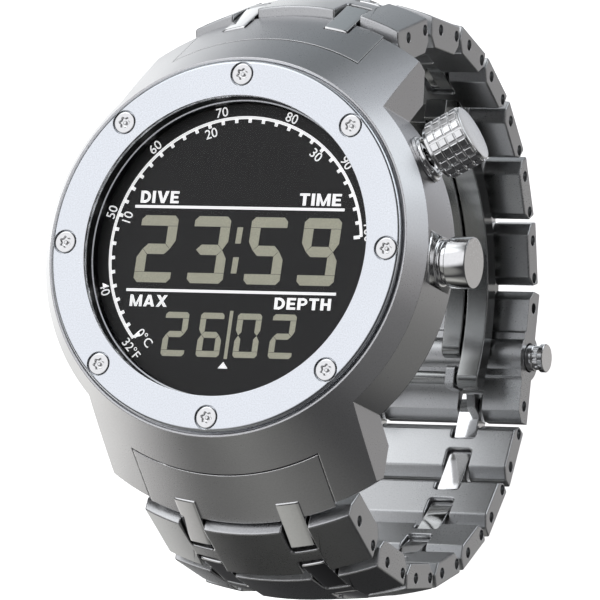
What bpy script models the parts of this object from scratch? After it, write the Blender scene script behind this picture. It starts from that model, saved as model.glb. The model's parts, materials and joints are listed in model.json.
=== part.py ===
"""Dive computer on a steel bracelet, modelled as separate working pieces.

+X points to 3 o'clock (the pusher's side), +Y to 12 o'clock, and +Z out of the dial.
The origin is the centre of the caseback's outer face.  Lengths below are millimetres,
and "depth" is measured from the bezel's front plane towards the wrist.
"""

import math

import bmesh
import bpy
from mathutils import Matrix, Vector

MM = 0.001
GAP = 0.3

# Case
CASE_DEPTH = 14.0
CONE_TOP_RADIUS = 22.15
CONE_TOP_DEPTH = 0.75
CONE_SLOPE = 0.645
WALL_RADIUS = 23.8
LUG_HALF_WIDTH = 16.5
LUG_TIP_RADIUS = 29.6
LUG_TIP_INSET = 0.6
LUG_TIP_DEPTH = 14.2
LUG_FOOT_RADIUS = 25.9
LUG_FOOT_DEPTH = 14.7
LUG_ROOT_RADIUS = 23.6
LUG_ROOT_DEPTH = 11.0
CASE_FLOOR_RADIUS = 22.9
CASE_FLOOR_DEPTH = 12.6
SEAL_GROOVE_INNER_RADIUS = 21.25
SEAL_GROOVE_OUTER_RADIUS = 22.15
SEAL_GROOVE_DEPTH = 11.8
CRYSTAL_SEAT_DEPTH = 3.0
CAVITY_RADIUS = 20.9
CAVITY_TOP_DEPTH = 3.9
SLOT_HALF_WIDTH = 11.7
SLOT_RADIUS = 25.45
END_LINK_TIP_RADIUS = 29.9
END_LINK_TIP_HEIGHT = 0.4
END_LINK_FOOT_RADIUS = 26.6

# How far cutting shapes reach beyond the case
TOOL_TOP = -2.0
TOOL_BOTTOM = 17.0
TOOL_REACH = 34.0

# Bezel, screws and crystal
BEZEL_INNER_RADIUS = 17.5
BEZEL_OUTER_RADIUS = 21.65
BEZEL_THICKNESS = 1.3
SCREW_CIRCLE_RADIUS = 20.0
SCREW_COUNT = 8
SCREW_HEAD_RADIUS = 1.25
SCREW_HEAD_HEIGHT = 0.45
SCREW_HEAD_ROOM_DEPTH = 0.75
SCREW_SHANK_RADIUS = 0.75
SCREW_LENGTH = 3.1
CRYSTAL_RADIUS = 18.2
CRYSTAL_TOP_DEPTH = 0.9
CRYSTAL_THICKNESS = 1.2
CRYSTAL_GASKET_INNER_RADIUS = 17.75

# Inside the case
DISPLAY_TOP = 3.2
DISPLAY_SHOULDER = 4.2
DISPLAY_BOTTOM = 6.4
DISPLAY_RADIUS = 17.2
DISPLAY_FRAME_RADIUS = 20.2
BOARD_RADIUS = 20.0
BOARD_DEPTHS = (8.6, 9.2)
CELL_DEPTHS = (9.5, 11.5)
BATTERY_RADIUS = 8.0
SENSOR_RADIUS = 2.4
SENSOR_DISTANCE = 14.0
BUZZER_RADIUS = 3.2
BUZZER_BOTTOM = 11.2

# Caseback
CASEBACK_PLUG_TOP = 11.8
CASEBACK_RADIUS = 22.7
CASEBACK_CHAMFER = 0.4
CASEBACK_GASKET_RADII = (21.5, 21.9)
CASEBACK_GASKET_TOP = 12.1
PORT_COUNT = 4
PORT_RADIUS = 0.5
PORT_PITCH = 1.5
NOTCH_COUNT = 6
NOTCH_RADIUS = 1.0
NOTCH_CIRCLE_RADIUS = 20.6
NOTCH_HEIGHT = 0.6

# Controls, whose axes are radial at this depth
CONTROL_DEPTH = 7.3
CROWN_ANGLE = 30.0
PUSHER_ANGLE = 0.0
TUBE_RADIUS = 1.9
TUBE_BORE_RADIUS = 1.2
TUBE_START = 21.3
STEM_RADIUS = TUBE_BORE_RADIUS - GAP
STEM_START = 20.9
STEM_END = 27.6
COLLAR_RADIUS = 3.1
COLLAR_START = 24.1
COLLAR_END = 24.55
CROWN_RADIUS = 3.5
CROWN_START = 25.2
CROWN_END = 30.4
CROWN_ROWS = 4
CROWN_BORE_END = 27.9
RIDGE_HEIGHT = 0.3
PUSHER_RADIUS = 2.95
PUSHER_START = 25.25
PUSHER_END = 27.9

# Bracelet, as a chain of pin centres in the plane of depth and 12 o'clock distance
BAND_HALF_WIDTH = 12.84
PIN_HOLE_RADIUS = 0.65
PIN_RADIUS = PIN_HOLE_RADIUS - GAP
PIN_HALF_LENGTH = 12.35
END_LINK_PIN_HALF_LENGTH = 11.0
FIRST_PIN = (13.1, 26.0)
CONNECTOR_PITCHES = (4.6, 4.8, 4.05, 3.65, 3.65, 3.65, 3.65, 3.65)
CONNECTOR_TILTS = (32.0, 13.7, -1.5, -19.0, -31.5, -45.5, -59.5, -78.0)
LINK_PITCHES = (5.0, 4.8, 4.3, 4.5, 4.5, 4.55, 4.55)
LINK_TILTS = (23.5, 5.0, -10.8, -24.0, -38.3, -56.3, -69.5)
LINK_CROWNS = (2.9, 2.2, 1.6, 1.1, 0.7, 0.4, 0.2)
LINK_INNER_HEIGHTS = (2.7, 2.3, 1.75, 1.5, 1.5, 1.5, 1.5)
LINK_NEAR_MARGINS = (3.1, 2.7, 2.7, 2.1, 2.1, 2.1, 2.1)
FIRST_LINK_LEAN = 0.1
FIRST_HEEL_HEIGHT = -0.2
FIRST_HEEL_LENGTH = 0.35
LINK_FAR_MARGIN = 0.9
LINK_OUTER_HEIGHT = 1.25
INNER_CHAMFER = 1.2
PLATE_INNER = 5.1
PLATE_OUTER = 7.75
PLATE_END = 1.3
POCKET_END = PLATE_END + GAP
POCKET_REACH = 8.0
POCKET_BOTTOM = -5.0
POCKET_TOP = 7.0
CONNECTOR_HEIGHT = 1.15

# Clasp
COVER_INNER_DEPTH = 61.3
COVER_OUTER_DEPTH = 64.2
COVER_HALF_LENGTH = 8.0
BARREL_DEPTH = 63.0
BARREL_RADIUS = 2.8
COVER_INNER_CHAMFER = 1.2
COVER_OUTER_CHAMFER = 0.5
EAR_SIDES = (4.9, 6.0)
EAR_REACH = 1.6
EAR_FOOT_REACH = 0.5
EAR_FOOT_DEPTH = 60.8
EAR_BASE_DEPTH = 62.0
BUTTON_RADIUS = 1.6
BUTTON_NECK_RADIUS = 1.4
BUTTON_NECK_START = 13.7
BUTTON_NECK_END = 14.5
BUTTON_BORE_RADIUS = 1.9
BUTTON_BORE_START = 4.1
BUTTON_START = 5.5
BUTTON_END = 15.1
BLADE_CENTRE = (36.6, 3.0)
BLADE_OUTER_RADIUS = 23.4
BLADE_INNER_RADIUS = 21.0
FRAME_RAIL = (6.3, 9.0)
TONGUE_RAIL = (3.6, 6.0)
FRAME_PIN = (57.8, -3.7)
FRAME_PIN_RADIUS = 0.8
FRAME_RAIL_OVERHANG = 3.4
FRAME_RAIL_END = 84.0
TONGUE_RAIL_START = (59.0, -1.2)
TONGUE_RAIL_END = 80.0
CROSSBAR_ANGLES = (28.0, 38.0)
CROSSBAR_OVERLAP = 0.5
WEB_LENGTH = (-0.9, 2.0)
WEB_HEIGHT = 4.6
TONGUE_PLATE_NOSE = 1.05
TONGUE_PLATE_SHOULDER = 0.5
TONGUE_PLATE_CHEEK = 0.6
TONGUE_PLATE_END = 0.9

RING_STEPS = 48
SMALL_STEPS = 20
PIN_STEPS = 8


# ---------------------------------------------------------------- scene and materials

def clear_scene():
    for obj in list(bpy.data.objects):
        bpy.data.objects.remove(obj, do_unlink=True)


def new_collection(name):
    collection = bpy.data.collections.new(name)
    bpy.context.scene.collection.children.link(collection)
    return collection


clear_scene()
PARTS = new_collection("dive_computer")


def principled(name, colour, roughness, metallic):
    material = bpy.data.materials.new(name)
    material.use_nodes = True
    shader = material.node_tree.nodes["Principled BSDF"]
    shader.inputs["Base Color"].default_value = (*colour, 1.0)
    shader.inputs["Roughness"].default_value = roughness
    shader.inputs["Metallic"].default_value = metallic
    return material


BLASTED_STEEL = principled("blasted_steel", (0.46, 0.46, 0.47), 0.42, 1.0)
SATIN_STEEL = principled("satin_steel", (0.78, 0.80, 0.83), 0.30, 1.0)
POLISHED_STEEL = principled("polished_steel", (0.80, 0.80, 0.80), 0.08, 1.0)
CRYSTAL = principled("mineral_crystal", (0.75, 0.80, 0.82), 0.03, 0.0)
DIAL_BLACK = principled("dial_black", (0.02, 0.02, 0.02), 0.25, 0.0)
SEAL_RUBBER = principled("seal_rubber", (0.03, 0.03, 0.03), 0.70, 0.0)
BOARD_GREEN = principled("board_green", (0.03, 0.16, 0.07), 0.50, 0.0)


# ---------------------------------------------------------------- shape helpers

def add_object(name, mesh):
    obj = bpy.data.objects.new(name, mesh)
    PARTS.objects.link(obj)
    return obj


def object_from_bmesh(name, bm):
    mesh = bpy.data.meshes.new(name)
    bm.to_mesh(mesh)
    bm.free()
    return add_object(name, mesh)


def baked_mesh(obj, name):
    """The object's evaluated mesh, with its transform applied and its seams welded."""
    depsgraph = bpy.context.evaluated_depsgraph_get()
    depsgraph.update()
    mesh = bpy.data.meshes.new_from_object(obj.evaluated_get(depsgraph))
    mesh.transform(obj.matrix_world)
    mesh.name = name
    bm = bmesh.new()
    bm.from_mesh(mesh)
    bmesh.ops.remove_doubles(bm, verts=bm.verts, dist=0.002 * MM)
    bm.to_mesh(mesh)
    bm.free()
    return mesh


def bake(obj):
    name = obj.name
    mesh = baked_mesh(obj, name)
    bpy.data.objects.remove(obj, do_unlink=True)
    return add_object(name, mesh)


def ordered(first, second):
    return min(first, second), max(first, second)


def block(name, low, high):
    """A box between two corners."""
    bm = bmesh.new()
    size = [high[axis] - low[axis] for axis in range(3)]
    centre = [(high[axis] + low[axis]) / 2 * MM for axis in range(3)]
    matrix = Matrix.Translation(centre) @ Matrix.Diagonal((*[s * MM for s in size], 1.0))
    bmesh.ops.create_cube(bm, size=1.0, matrix=matrix)
    return object_from_bmesh(name, bm)


def rod(name, radius, start, end, steps):
    """A round bar between two points."""
    first = Vector(start) * MM
    last = Vector(end) * MM
    turn = (last - first).to_track_quat("Z", "Y").to_matrix().to_4x4()
    bm = bmesh.new()
    bmesh.ops.create_cone(
        bm,
        cap_ends=True,
        segments=steps,
        radius1=radius * MM,
        radius2=radius * MM,
        depth=(last - first).length,
        matrix=Matrix.Translation((first + last) / 2) @ turn,
    )
    return object_from_bmesh(name, bm)


def turned(name, profile, steps, closed=False):
    """A profile of (radius, height) pairs, top to bottom on its outer side, spun about Z."""
    bm = bmesh.new()
    corners = [bm.verts.new((radius * MM, 0.0, height * MM)) for radius, height in profile]
    for first, second in zip(corners, corners[1:]):
        bm.edges.new((first, second))
    if closed:
        bm.edges.new((corners[-1], corners[0]))
    obj = object_from_bmesh(name, bm)
    screw = obj.modifiers.new("spin", "SCREW")
    screw.steps = steps
    screw.render_steps = steps
    screw.use_merge_vertices = True
    screw.merge_threshold = 0.00001
    return bake(obj)


def lathe(name, profile, steps=RING_STEPS, closed=False):
    """A turned piece whose profile is given as (radius, depth) pairs."""
    return turned(name, [(radius, CASE_DEPTH - depth) for radius, depth in profile], steps, closed)


def point(across, along, depth):
    """A point from its distance to 3 o'clock, its distance to 12 o'clock and its depth."""
    return (across, along, CASE_DEPTH - depth)


def arc_points(centre, radius, first, last, count):
    """Points of an arc in the plane of depth and 12 o'clock distance."""
    step = (last - first) / (count - 1)
    angles = [math.radians(first + step * index) for index in range(count)]
    return [
        (centre[0] + radius * math.cos(angle), centre[1] + radius * math.sin(angle))
        for angle in angles
    ]


def circle_points(centre, radius, count):
    return arc_points(centre, radius, 0.0, 360.0 * (count - 1) / count, count)


def slab(name, loops, low, high):
    """Flat loops of (depth, along) points, extruded across from low to high; inner loops are holes."""
    curve = bpy.data.curves.new(name, "CURVE")
    curve.dimensions = "2D"
    curve.fill_mode = "BOTH"
    curve.extrude = (high - low) / 2 * MM
    for loop in loops:
        spline = curve.splines.new("POLY")
        spline.points.add(len(loop) - 1)
        spline.use_cyclic_u = True
        for corner, (depth, along) in zip(spline.points, loop):
            corner.co = (along * MM, (CASE_DEPTH - depth) * MM, 0.0, 1.0)
    obj = add_object(name, curve)
    obj.matrix_world = Matrix(
        ((0, 0, 1, (high + low) / 2 * MM), (1, 0, 0, 0), (0, 1, 0, 0), (0, 0, 0, 1))
    )
    return bake(obj)


def combine(obj, other, operation):
    """Boolean of two objects; the second one is used up."""
    modifier = obj.modifiers.new(operation.lower(), "BOOLEAN")
    modifier.operation = operation
    modifier.solver = "EXACT"
    modifier.object = other
    result = bake(obj)
    bpy.data.objects.remove(other, do_unlink=True)
    return result


def cut(obj, cutter):
    return combine(obj, cutter, "DIFFERENCE")


def join(obj, other):
    return combine(obj, other, "UNION")


def keep_inside(obj, envelope):
    return combine(obj, envelope, "INTERSECT")


def place(obj, matrix):
    """Moves the mesh itself, so the object keeps an identity transform."""
    obj.data.transform(matrix)
    obj.data.update()
    return obj


def finish(obj, material, sharp_angle=30.0):
    obj.data.materials.clear()
    obj.data.materials.append(material)
    obj.data.shade_smooth()
    obj.data.set_sharp_from_angle(angle=math.radians(sharp_angle))
    return obj


def set_origin(obj, origin):
    """Puts the object's origin on its joint's axis without moving the shape."""
    offset = Vector(origin) * MM
    obj.data.transform(Matrix.Translation(-offset))
    obj.location = offset
    return obj


# ---------------------------------------------------------------- case

def cone_depth(radius):
    return CONE_TOP_DEPTH + (radius - CONE_TOP_RADIUS) / CONE_SLOPE


def case_profile():
    rim = BEZEL_OUTER_RADIUS + GAP
    outside = [
        (rim, CONE_TOP_DEPTH),
        (CONE_TOP_RADIUS, CONE_TOP_DEPTH),
        (LUG_TIP_RADIUS, cone_depth(LUG_TIP_RADIUS)),
        (LUG_TIP_RADIUS - LUG_TIP_INSET, LUG_TIP_DEPTH),
        (LUG_FOOT_RADIUS, LUG_FOOT_DEPTH),
        (LUG_ROOT_RADIUS, LUG_ROOT_DEPTH),
        (CASE_FLOOR_RADIUS, CASE_FLOOR_DEPTH),
    ]
    seal_groove = [
        (SEAL_GROOVE_OUTER_RADIUS, CASE_FLOOR_DEPTH),
        (SEAL_GROOVE_OUTER_RADIUS, SEAL_GROOVE_DEPTH),
        (SEAL_GROOVE_INNER_RADIUS, SEAL_GROOVE_DEPTH),
        (SEAL_GROOVE_INNER_RADIUS, CASE_FLOOR_DEPTH),
    ]
    inside = [
        (CAVITY_RADIUS, CASE_FLOOR_DEPTH),
        (CAVITY_RADIUS, CAVITY_TOP_DEPTH),
        (BEZEL_INNER_RADIUS + 0.1, CAVITY_TOP_DEPTH),
        (BEZEL_INNER_RADIUS + 0.1, CRYSTAL_SEAT_DEPTH),
        (CRYSTAL_RADIUS + GAP, CRYSTAL_SEAT_DEPTH),
        (CRYSTAL_RADIUS + GAP, BEZEL_THICKNESS + GAP),
        (rim, BEZEL_THICKNESS + GAP),
    ]
    return outside + seal_groove + inside


def round_column(name, radius):
    return rod(name, radius, point(0, 0, TOOL_TOP), point(0, 0, TOOL_BOTTOM), RING_STEPS)


def side_trim(sign):
    """What lies outside the round wall, beyond the lugs' flat sides."""
    low, high = ordered(sign * LUG_HALF_WIDTH, sign * TOOL_REACH)
    trim = block("side_trim", point(low, -TOOL_REACH, TOOL_BOTTOM), point(high, TOOL_REACH, TOOL_TOP))
    return cut(trim, round_column("wall_column", WALL_RADIUS))


def lug_slot(sign):
    """The slot between two lugs that holds an end link."""
    low, high = ordered(sign * CAVITY_RADIUS, sign * TOOL_REACH)
    slot = block(
        "lug_slot", point(-SLOT_HALF_WIDTH, low, TOOL_BOTTOM), point(SLOT_HALF_WIDTH, high, TOOL_TOP)
    )
    return cut(slot, round_column("slot_column", SLOT_RADIUS))


def radial(angle, distance):
    """A point on a control's axis."""
    turn = math.radians(angle)
    return point(distance * math.cos(turn), distance * math.sin(turn), CONTROL_DEPTH)


def screw_place(index):
    turn = math.radians(90.0 - index * 360.0 / SCREW_COUNT)
    return SCREW_CIRCLE_RADIUS * math.cos(turn), SCREW_CIRCLE_RADIUS * math.sin(turn)


def make_case():
    body = lathe("case_body", case_profile(), closed=True)
    for sign in (1, -1):
        body = cut(body, side_trim(sign))
        body = cut(body, lug_slot(sign))
    for angle in (CROWN_ANGLE, PUSHER_ANGLE):
        start = radial(angle, SCREW_CIRCLE_RADIUS)
        end = radial(angle, TOOL_REACH)
        hole = rod("tube_hole", TUBE_RADIUS + GAP, start, end, SMALL_STEPS)
        body = cut(body, hole)
    for index in range(SCREW_COUNT):
        x, y = screw_place(index)
        start = point(x, y, SCREW_LENGTH + GAP)
        end = point(x, y, CONE_TOP_DEPTH)
        hole = rod("screw_hole", SCREW_SHANK_RADIUS + GAP, start, end, PIN_STEPS)
        body = cut(body, hole)
    finish(body, BLASTED_STEEL)


def make_end_link(name, turn):
    """The fixed link between two lugs, with the first connector's pockets and pin hole."""
    inner = SLOT_RADIUS + GAP
    profile = [
        (inner, cone_depth(inner)),
        (END_LINK_TIP_RADIUS, cone_depth(END_LINK_TIP_RADIUS)),
        (END_LINK_TIP_RADIUS - LUG_TIP_INSET, cone_depth(END_LINK_TIP_RADIUS) + END_LINK_TIP_HEIGHT),
        (END_LINK_FOOT_RADIUS, LUG_TIP_DEPTH),
        (inner, LUG_TIP_DEPTH),
    ]
    body = lathe(name, profile, closed=True)
    half = SLOT_HALF_WIDTH - GAP
    width = block("width", point(-half, CAVITY_RADIUS, TOOL_BOTTOM), point(half, TOOL_REACH, TOOL_TOP))
    body = keep_inside(body, width)
    body = cut(body, pin_hole(FIRST_PIN))
    for sign in (1, -1):
        body = cut(body, end_link_pocket(sign))
    place(body, Matrix.Rotation(turn, 4, "Z"))
    finish(body, BLASTED_STEEL)


def pocket_sides(sign):
    """How far across the band a connector plate's pocket reaches, on one side of its middle."""
    return ordered(sign * (PLATE_INNER - GAP), sign * (PLATE_OUTER + GAP))


def pocket_corners(start, end):
    """A pocket's outline along a link and outward from its pins."""
    return [(start, POCKET_BOTTOM), (end, POCKET_BOTTOM), (end, POCKET_TOP), (start, POCKET_TOP)]


def end_link_pocket(sign):
    """Room for a connector plate, which tilts along the first connector's direction."""
    corners = pocket_corners(-POCKET_END, POCKET_REACH)
    loop = local_loop(FIRST_PIN, CONNECTOR_TILTS[0], corners)
    return slab("pocket", [loop], *pocket_sides(sign))


def pin_hole(centre):
    depth, along = centre
    start = point(-TOOL_REACH, along, depth)
    end = point(TOOL_REACH, along, depth)
    return rod("pin_hole", PIN_HOLE_RADIUS, start, end, PIN_STEPS)


def make_bezel():
    profile = [
        (BEZEL_INNER_RADIUS, 0.0),
        (BEZEL_OUTER_RADIUS - 0.35, 0.0),
        (BEZEL_OUTER_RADIUS, 0.35),
        (BEZEL_OUTER_RADIUS, BEZEL_THICKNESS),
        (CRYSTAL_RADIUS + GAP, BEZEL_THICKNESS),
        (CRYSTAL_RADIUS + GAP, CRYSTAL_TOP_DEPTH - GAP),
        (BEZEL_INNER_RADIUS, CRYSTAL_TOP_DEPTH - GAP),
    ]
    body = lathe("bezel_ring", profile, closed=True)
    for index in range(SCREW_COUNT):
        x, y = screw_place(index)
        top = point(x, y, TOOL_TOP)
        head_end = point(x, y, SCREW_HEAD_ROOM_DEPTH)
        shank_end = point(x, y, SCREW_LENGTH)
        body = cut(body, rod("head_room", SCREW_HEAD_RADIUS + GAP, head_end, top, SMALL_STEPS))
        body = cut(body, rod("shank_room", SCREW_SHANK_RADIUS + GAP, shank_end, top, PIN_STEPS))
    finish(body, SATIN_STEEL)


def make_bezel_screws():
    profile = [
        (0.0, 0.0),
        (SCREW_HEAD_RADIUS - 0.1, 0.0),
        (SCREW_HEAD_RADIUS, 0.1),
        (SCREW_HEAD_RADIUS, SCREW_HEAD_HEIGHT),
        (SCREW_SHANK_RADIUS, SCREW_HEAD_HEIGHT),
        (SCREW_SHANK_RADIUS, SCREW_LENGTH),
        (0.0, SCREW_LENGTH),
    ]
    for index in range(SCREW_COUNT):
        screw = lathe("bezel_screw_%d" % (index + 1), profile, PIN_STEPS)
        x, y = screw_place(index)
        place(screw, Matrix.Translation((x * MM, y * MM, 0.0)))
        finish(screw, POLISHED_STEEL)


def disc(name, radius, top, bottom, material, centre=(0.0, 0.0), steps=RING_STEPS):
    profile = [(0.0, top), (radius, top), (radius, bottom), (0.0, bottom)]
    piece = lathe(name, profile, steps)
    place(piece, Matrix.Translation((centre[0] * MM, centre[1] * MM, 0.0)))
    finish(piece, material)


def ring(name, inner, outer, top, bottom, material):
    profile = [(inner, top), (outer, top), (outer, bottom), (inner, bottom)]
    finish(lathe(name, profile, closed=True), material)


def make_module():
    """Everything stacked between the crystal and the caseback."""
    crystal_bottom = CRYSTAL_TOP_DEPTH + CRYSTAL_THICKNESS
    disc("crystal", CRYSTAL_RADIUS, CRYSTAL_TOP_DEPTH, crystal_bottom, CRYSTAL)
    top = crystal_bottom + GAP
    inner = CRYSTAL_GASKET_INNER_RADIUS
    ring("crystal_gasket", inner, CRYSTAL_RADIUS, top, top + GAP, SEAL_RUBBER)
    display = [
        (0.0, DISPLAY_TOP),
        (DISPLAY_RADIUS, DISPLAY_TOP),
        (DISPLAY_RADIUS, DISPLAY_SHOULDER),
        (DISPLAY_FRAME_RADIUS, DISPLAY_SHOULDER),
        (DISPLAY_FRAME_RADIUS, DISPLAY_BOTTOM),
        (0.0, DISPLAY_BOTTOM),
    ]
    finish(lathe("display_module", display), DIAL_BLACK)
    disc("circuit_board", BOARD_RADIUS, *BOARD_DEPTHS, BOARD_GREEN)
    disc("battery", BATTERY_RADIUS, *CELL_DEPTHS, POLISHED_STEEL)
    sensor_centre = (0.0, -SENSOR_DISTANCE)
    disc("pressure_sensor", SENSOR_RADIUS, *CELL_DEPTHS, SATIN_STEEL, sensor_centre, SMALL_STEPS)
    buzzer_centre = (0.0, SENSOR_DISTANCE)
    disc("buzzer", BUZZER_RADIUS, CELL_DEPTHS[0], BUZZER_BOTTOM, SATIN_STEEL, buzzer_centre, SMALL_STEPS)
    ring("caseback_gasket", *CASEBACK_GASKET_RADII, CASEBACK_GASKET_TOP, CASE_FLOOR_DEPTH, SEAL_RUBBER)


def make_caseback():
    plug = CAVITY_RADIUS - GAP
    profile = [
        (0.0, CASEBACK_PLUG_TOP),
        (plug, CASEBACK_PLUG_TOP),
        (plug, CASE_FLOOR_DEPTH + GAP),
        (CASEBACK_RADIUS, CASE_FLOOR_DEPTH + GAP),
        (CASEBACK_RADIUS, CASE_DEPTH - CASEBACK_CHAMFER),
        (CASEBACK_RADIUS - CASEBACK_CHAMFER, CASE_DEPTH),
        (0.0, CASE_DEPTH),
    ]
    back = lathe("caseback", profile)
    for index in range(PORT_COUNT):
        x = PORT_PITCH * (index - (PORT_COUNT - 1) / 2.0)
        start = point(x, -SENSOR_DISTANCE, LUG_ROOT_DEPTH)
        end = point(x, -SENSOR_DISTANCE, TOOL_BOTTOM)
        back = cut(back, rod("port", PORT_RADIUS, start, end, PIN_STEPS))
    for index in range(NOTCH_COUNT):
        turn = 2.0 * math.pi * index / NOTCH_COUNT
        x = NOTCH_CIRCLE_RADIUS * math.cos(turn)
        y = NOTCH_CIRCLE_RADIUS * math.sin(turn)
        start = point(x, y, CASE_DEPTH - NOTCH_HEIGHT)
        end = point(x, y, TOOL_BOTTOM)
        back = cut(back, rod("notch", NOTCH_RADIUS, start, end, PIN_STEPS))
    finish(back, SATIN_STEEL)


# ---------------------------------------------------------------- crown and pusher

def along_control(obj, angle):
    """Turns a piece made along Z so that it lies on a control's axis."""
    drop = Matrix.Translation((0.0, 0.0, (CASE_DEPTH - CONTROL_DEPTH) * MM))
    lay = Matrix.Rotation(math.radians(90.0), 4, "Y")
    swing = Matrix.Rotation(math.radians(angle), 4, "Z")
    return place(obj, drop @ swing @ lay)


def control_piece(name, profile, angle, material, steps, closed=False):
    """A turned piece on a control's axis; its profile is (radius, distance from the dial axis)."""
    piece = turned(name, profile, steps, closed)
    finish(along_control(piece, angle), material)
    return piece


def make_tube(name, angle):
    profile = [
        (COLLAR_RADIUS - 0.15, COLLAR_END),
        (COLLAR_RADIUS, COLLAR_END - 0.15),
        (COLLAR_RADIUS, COLLAR_START),
        (TUBE_RADIUS, COLLAR_START),
        (TUBE_RADIUS, TUBE_START),
        (TUBE_BORE_RADIUS, TUBE_START),
        (TUBE_BORE_RADIUS, COLLAR_END),
    ]
    control_piece(name, profile, angle, POLISHED_STEEL, SMALL_STEPS, closed=True)


def make_crown_stem():
    profile = [
        (0.0, STEM_END),
        (STEM_RADIUS, STEM_END),
        (STEM_RADIUS, STEM_START),
        (0.0, STEM_START),
    ]
    stem = control_piece("crown_stem", profile, CROWN_ANGLE, POLISHED_STEEL, PIN_STEPS)
    set_origin(stem, radial(CROWN_ANGLE, COLLAR_END))


def make_crown_knob():
    """A knob whose grip is rows of ridges, with a blind bore for the stem."""
    grip_start = CROWN_START + 0.5
    grip_end = CROWN_END - 0.55
    pitch = (grip_end - grip_start) / CROWN_ROWS
    grip = []
    for row in range(CROWN_ROWS):
        top = grip_end - row * pitch
        grip += [
            (CROWN_RADIUS, top - 0.08),
            (CROWN_RADIUS, top - pitch + 0.17),
            (CROWN_RADIUS - RIDGE_HEIGHT, top - pitch + 0.12),
            (CROWN_RADIUS - RIDGE_HEIGHT, top - pitch),
        ]
    profile = [(0.0, CROWN_END), (2.2, CROWN_END - 0.08), (CROWN_RADIUS - RIDGE_HEIGHT, CROWN_END - 0.35)]
    profile += grip
    profile += [
        (CROWN_RADIUS - 0.2, CROWN_START),
        (TUBE_BORE_RADIUS, CROWN_START),
        (TUBE_BORE_RADIUS, CROWN_BORE_END),
        (0.0, CROWN_BORE_END),
    ]
    knob = control_piece("crown_knob", profile, CROWN_ANGLE, POLISHED_STEEL, SMALL_STEPS)
    set_origin(knob, radial(CROWN_ANGLE, CROWN_START))


def make_pusher():
    profile = [
        (0.0, PUSHER_END),
        (PUSHER_RADIUS - 0.15, PUSHER_END),
        (PUSHER_RADIUS, PUSHER_END - 0.15),
        (PUSHER_RADIUS, PUSHER_START),
        (STEM_RADIUS, PUSHER_START),
        (STEM_RADIUS, STEM_START),
        (0.0, STEM_START),
    ]
    pusher = control_piece("pusher", profile, PUSHER_ANGLE, POLISHED_STEEL, SMALL_STEPS)
    set_origin(pusher, radial(PUSHER_ANGLE, PUSHER_START))


# ---------------------------------------------------------------- bracelet

def step_along(start, pitch, tilt):
    turn = math.radians(tilt)
    return start[0] + pitch * math.cos(turn), start[1] + pitch * math.sin(turn)


def pin_chain():
    """Pin centres from the end link to the clasp: pins 2k and 2k+1 belong to connector k."""
    pins = [FIRST_PIN]
    for index, pitch in enumerate(CONNECTOR_PITCHES):
        pins.append(step_along(pins[-1], pitch, CONNECTOR_TILTS[index]))
        if index < len(LINK_PITCHES):
            pins.append(step_along(pins[-1], LINK_PITCHES[index], LINK_TILTS[index]))
    return pins


PINS = pin_chain()


def local_loop(origin, tilt, corners):
    """Corners given along a tilted line and outward from it, as (depth, along) points."""
    turn = math.radians(tilt)
    return [
        (
            origin[0] + s * math.cos(turn) - t * math.sin(turn),
            origin[1] + s * math.sin(turn) + t * math.cos(turn),
        )
        for s, t in corners
    ]


def local_matrix(origin, tilt):
    """From a frame of across, along and outward to the object's own frame."""
    turn = math.radians(tilt)
    along = Vector((0.0, math.sin(turn), -math.cos(turn)))
    outward = Vector((0.0, math.cos(turn), math.sin(turn)))
    matrix = Matrix.Translation(Vector(point(0.0, origin[1], origin[0])) * MM)
    for row in range(3):
        matrix[row][0] = -1.0 if row == 0 else 0.0
        matrix[row][1] = along[row]
        matrix[row][2] = outward[row]
    return matrix


def crown_envelope(crown, start, length):
    """A bar along the link whose top is a shallow arc across the band."""
    half = BAND_HALF_WIDTH
    radius = (half * half + crown * crown) / (2.0 * crown)
    reach = math.asin(half / radius)
    count = 9
    top = []
    for index in range(count):
        angle = reach - 2.0 * reach * index / (count - 1)
        top.append((radius * math.sin(angle), LINK_OUTER_HEIGHT + crown - radius * (1.0 - math.cos(angle))))
    outline = top + [(-half, POCKET_BOTTOM), (half, POCKET_BOTTOM)]
    curve = bpy.data.curves.new("crown_envelope", "CURVE")
    curve.dimensions = "2D"
    curve.fill_mode = "BOTH"
    curve.extrude = length / 2.0 * MM
    spline = curve.splines.new("POLY")
    spline.points.add(len(outline) - 1)
    spline.use_cyclic_u = True
    for corner, (across, height) in zip(spline.points, outline):
        corner.co = (across * MM, height * MM, 0.0, 1.0)
    obj = add_object("crown_envelope", curve)
    centre = (start + length / 2.0) * MM
    obj.matrix_world = Matrix(((1, 0, 0, 0), (0, 0, -1, centre), (0, 1, 0, 0), (0, 0, 0, 1)))
    return bake(obj)


def link_corners(index):
    pitch = LINK_PITCHES[index]
    near = -LINK_NEAR_MARGINS[index]
    far = pitch + LINK_FAR_MARGIN
    inner = -LINK_INNER_HEIGHTS[index]
    outer = LINK_OUTER_HEIGHT + LINK_CROWNS[index] + 1.0
    lean = FIRST_LINK_LEAN if index == 0 else 0.0
    heel = FIRST_HEEL_HEIGHT if index == 0 else inner + INNER_CHAMFER
    return [
        (near + lean * outer, outer),
        (near, heel),
        (near + INNER_CHAMFER, inner),
        (far - INNER_CHAMFER, inner),
        (far, inner + INNER_CHAMFER),
        (far, outer),
    ]


def pocket_pair(index, sign):
    """Pockets for the connector plates at both ends of a link, on one side of its middle."""
    pitch = LINK_PITCHES[index]
    near = pocket_corners(-POCKET_REACH, POCKET_END)
    far = pocket_corners(pitch - POCKET_END, pitch + POCKET_REACH)
    loops = [local_loop(PINS[2 * index + 1], LINK_TILTS[index], corners) for corners in (near, far)]
    return slab("pockets", loops, *pocket_sides(sign))


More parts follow.
